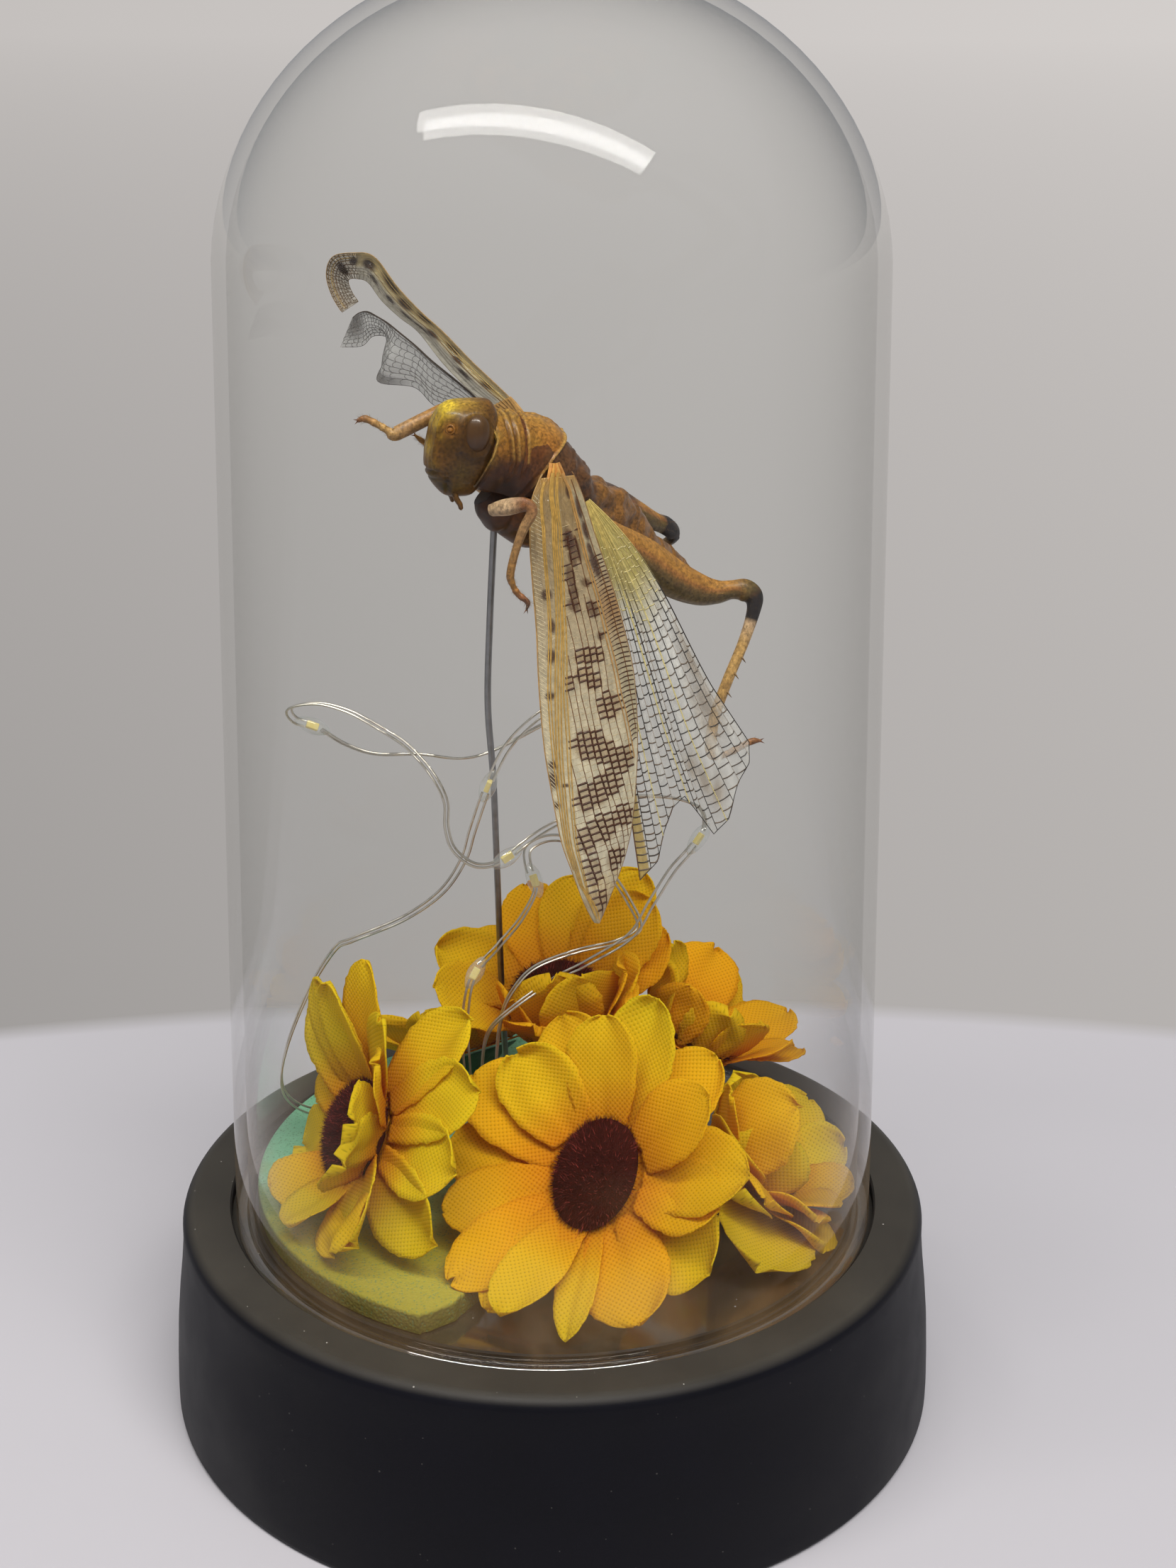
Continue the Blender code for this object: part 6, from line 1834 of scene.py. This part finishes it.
# painted glints: the top of the ramp, reached by a few fibres, is a bright red
burgundy = flock.ramp(tint, (0.0, (0.026, 0.004, 0.002)), (0.3, (0.07, 0.01, 0.005)),
                      (0.75, (0.13, 0.022, 0.016)), (0.98, (0.5, 0.08, 0.06)))
patch = flock.noise(flock.where(), 0.35, 3.0)
flock.look(Base_Color=flock.mix(flock.times(patch, 0.5), burgundy, (0.06, 0.01, 0.004)))
for k, (name, (centre, normal, petals, stem_route)) in enumerate(FLOWERS.items()):
    place(flocked_button(name, centre, normal, k), flock, "flock_burgundy", f"flower_{name}_centre")

# %% [markdown]
# Under each ring of petals sits a green plastic cup with blunt teeth, and it narrows into the stem.

# %% Stems
green = Finish("stem_green", Roughness=0.42)
spot = green.where()
cloud = green.noise(spot, 0.4, 3.0)
ribs = green.noise(green.stretch(spot, 3.0, 3.0, 0.3), 1.0, 2.0)
green.look(Base_Color=green.mix(cloud, (0.006, 0.035, 0.01), (0.02, 0.085, 0.022)),
           Roughness=green.times(ribs, 0.25, 0.3), Normal=green.bump(ribs, 0.3, 0.0003))
for name, (centre, normal, petals, stem_route) in FLOWERS.items():
    turn = flower_turn(centre, normal)
    calyx = [(turn @ Vector((0, 0, -h)), r) for h, r in ((0.55, 5.6), (0.8, 5.4), (1.3, 4.2), (1.9, 3.4),
                                                         (2.8, 2.3), (3.7, 1.65))]
    route = smooth_line([calyx[-1][0], *stem_route], 1.2)[1:]
    stations = calyx + [(point, 1.5 + 0.05 * sin(1.3 * k)) for k, point in enumerate(route)]
    stem = swept(f"flower_{name}_calyx_stem", stations, 20,
                 lambda i, k: 1.0 + (0.1 * cos(5 * 2 * pi * k / 20) if i < 3 else 0.0))
    smooth(stem, 40)
    place(stem, green, "stem_green", f"flower_{name}_stem")

# %% [markdown]
# ## The string of lights
#
# Two bare silvered wires, thin and stiff, run side by side and cross over each other now and then.
# They were bent by hand into loose loops and they keep that shape.  A small light chip sits between
# the wires at each drop, and the drop of clear resin over it was moulded by dipping.

# %% Routes
OUTER_STRAND = [
    (-32, 14, FOAM_GRIP), (-36.6, 9, 37.6), (-39.2, 5.4, 43), (-38.2, 4.6, 50), (-34.6, 3.6, 59.4),
    (-30.5, 1.4, 66.9), (-27.8, 0, 69), (-20.7, 0, 72.2), (-15.4, 0, 76.2), (-12.3, 0, 81), (-10.9, -1.4, 86),
    (-8.7, -3.2, 93), (-5.9, -3.8, 99), (-1.5, -3.6, 103.4), (1.9, -1, 103.9), (1, 2, 101.1), (-1.8, 2.8, 99.4),
    (-7.8, 3.2, 95.9), (-12.4, 2.4, 94.9), (-18.2, 2.2, 95.6), (-24.1, 2.6, 95.5), (-28.2, 2.6, 96.9),
    (-31.8, 2.4, 99.3), (-34.8, 2, 100.6), (-35.2, 1, 102.6), (-31.4, 0, 103.6), (-27.2, -1, 102.8),
    (-23.5, -1.4, 100.8), (-20, -2, 98.7), (-17.4, -3, 96.3), (-15.4, -4, 93.7), (-14.3, -4.2, 90.8),
    (-14.3, -4.4, 87.5), (-13.3, -4.4, 84.2), (-10.4, -4.2, 81.9), (-7, -3.4, 82.2), (-3.4, -1.8, 84.5),
    (0.2, 1, 85.8), (6.8, 3, 88.4), (14.5, 1.4, 89.7), (19.6, -1.6, 89.4), (20.4, -3.4, 87), (18.4, -4.2, 84),
    (16.1, -4, 81), (13.4, -3.6, 76), (10.6, -3.4, 71), (4.7, -3.4, 67), (0.1, -3.4, 64.4), (-5.2, -4.6, 61),
    (-9, -4.8, 57), (-10, -4, 50), (-9.8, -1.6, 42), (-9.6, -1, FOAM_HIGH)]
OUTER_DROPS = [(-8.7, -3.2, 93), (-32.5, 2.3, 99.6), (-6.4, -3, 82.8), (19.6, -3.8, 85.5)]
INNER_STRAND = [
    (-7.4, -2.4, FOAM_HIGH), (-7.8, -3, 43), (-8, -3.8, 51), (-7.2, -3.2, 58.6), (-5.4, -2.4, 62.6),
    (-2.3, -1.6, 65.6), (3.5, -0.8, 67.6), (8.9, 0, 68.6), (12, 1.4, 70), (10.8, 3, 73), (7.9, 4.6, 77),
    (3.9, 4.8, 81), (0, 4, 82.6), (-3.3, 2.4, 81.8), (-3.4, 1.2, 79.4), (-2.4, 0.2, 76.6), (-4.4, -1, 72.6),
    (-7.5, -2, 69), (-11, -3.4, 65), (-12.2, -4.6, 59), (-12, -4.4, 51), (-11.8, -1, 43), (-11.8, 0.6, FOAM_HIGH)]
INNER_DROPS = [(-2.5, 0.2, 77.7), (-10.9, -3.2, 65.4)]

# %% Two wires side by side
def twin_wires(name, route, radius=0.17):
    """Two thin wires that lie beside each other and swap sides from time to time."""
    tubes = []
    for sign in (-1, 1):
        line = []
        for i, (point, _, side, over) in enumerate(frames_along(route, UP)):
            turn = 0.011 * i + 0.5 * sin(i * 0.017)
            gap = 0.25 + 0.17 * (0.5 + 0.5 * sin(i * 0.045 + 1.0))
            line.append(point + sign * gap * (side * cos(turn) + over * sin(turn)))
        tubes.append(wire_piece(f"{name}_{'ab'[sign > 0]}", line, radius, 1))
    wires = join(*tubes)
    wires.name = name
    return wires

# %% [markdown]
# The wire is dull silver.  The resin is almost clear, milky in places, and mirrors the room at its
# edges; the chip inside it is a small yellow block with rounded corners.

# %% Silver, resin and chip
silver = Finish("silver_wire", Metallic=1.0)
tone = silver.noise(silver.where(), 0.9, 3.0)
silver.look(Base_Color=silver.mix(tone, (0.52, 0.48, 0.4), (0.76, 0.72, 0.63)),
            Roughness=silver.times(tone, 0.2, 0.3))

resin = Finish("resin_drop", Base_Color=(0.97, 0.97, 0.95, 1.0), Roughness=0.05, Metallic=1.0)
mirror = resin.times(resin.power(resin.slope(), 4.0), 0.9, 0.06)
clear = resin.node("BsdfTransparent", Color=(0.93, 0.94, 0.93, 1.0))
milk = resin.node("BsdfDiffuse", Color=(0.86, 0.87, 0.86, 1.0))
body = resin.layers(resin.times(resin.noise(resin.where(), 0.6), 0.25, -0.02), clear, milk)
resin.show(resin.layers(mirror, body, resin.shader))

chip = Finish("light_chip", Roughness=0.4)
chip.look(Base_Color=chip.mix(chip.noise(chip.where(), 1.6), (0.8, 0.56, 0.06), (0.85, 0.74, 0.3)))

# %% Drops and strings
ROUTE_STEP, IN_RESIN = 0.25, 4  # spacing of a route's points, and how many of them a drop hides each way


def resin_drop(name, centre, along, seed):
    """A lumpy drop with a pale chip inside it."""
    rng = random.Random(seed)
    outline = [(0.0, -2.7), (0.35, -2.5), (0.7, -2.0), (1.02, -1.2), (1.18, -0.4), (1.15, 0.4), (0.98, 1.2),
               (0.7, 1.9), (0.4, 2.4), (0.0, 2.7)]
    drop = spun(name, outline, 28)
    turn = Matrix.Translation(Vector(centre) * MM) @ UP.rotation_difference(along).to_matrix().to_4x4()
    for vertex in drop.data.vertices:
        lump = noise.noise(vertex.co * 420 + Vector((seed * 3.1, 0, 0)))
        vertex.co *= 1 + 0.07 * lump - 0.03
    drop.data.transform(turn)
    tidy_normals(drop)
    smooth(drop, 70)
    bpy.ops.mesh.primitive_cube_add(size=1.0)
    core = bpy.context.object
    core.name = name + "_chip"
    core.data.transform(Matrix.Diagonal((1.0 * MM, 0.7 * MM, 1.7 * MM, 1.0)))
    modify(core, "BEVEL", width=0.12 * MM, segments=2)
    core.data.transform(turn @ Matrix.Rotation(rng.uniform(0, 3), 4, "Z"))
    return drop, core


def light_string(name, points, drops):
    """The string is cut at its drops, because the wires end in the resin."""
    route = smooth_line(points, ROUTE_STEP)
    marks = [min(range(len(route)), key=lambda k: (route[k] - Vector(drop)).length) for drop in drops]
    for i, mark in enumerate(marks):
        along = (route[mark + IN_RESIN] - route[mark - IN_RESIN]).normalized()
        drop, core = resin_drop(f"lamp_{name}_{i + 1}", route[mark], along, i + 3 * len(drops))
        place(drop, resin, "resin_drop", f"light_{name}_drop_{i + 1}")
        place(core, chip, "resin_drop")
    edges = [0, *marks, len(route) - 1]
    for i, (start, end) in enumerate(zip(edges, edges[1:])):
        start += IN_RESIN if i else 0
        end -= IN_RESIN if i < len(marks) else 0
        wire = twin_wires(f"string_{name}_{i + 1}", route[start:end + 1:2])
        place(wire, silver, "silver_wire", f"light_{name}_wire_{i + 1}")


light_string("outer", OUTER_STRAND, OUTER_DROPS)
light_string("inner", INNER_STRAND, INNER_DROPS)
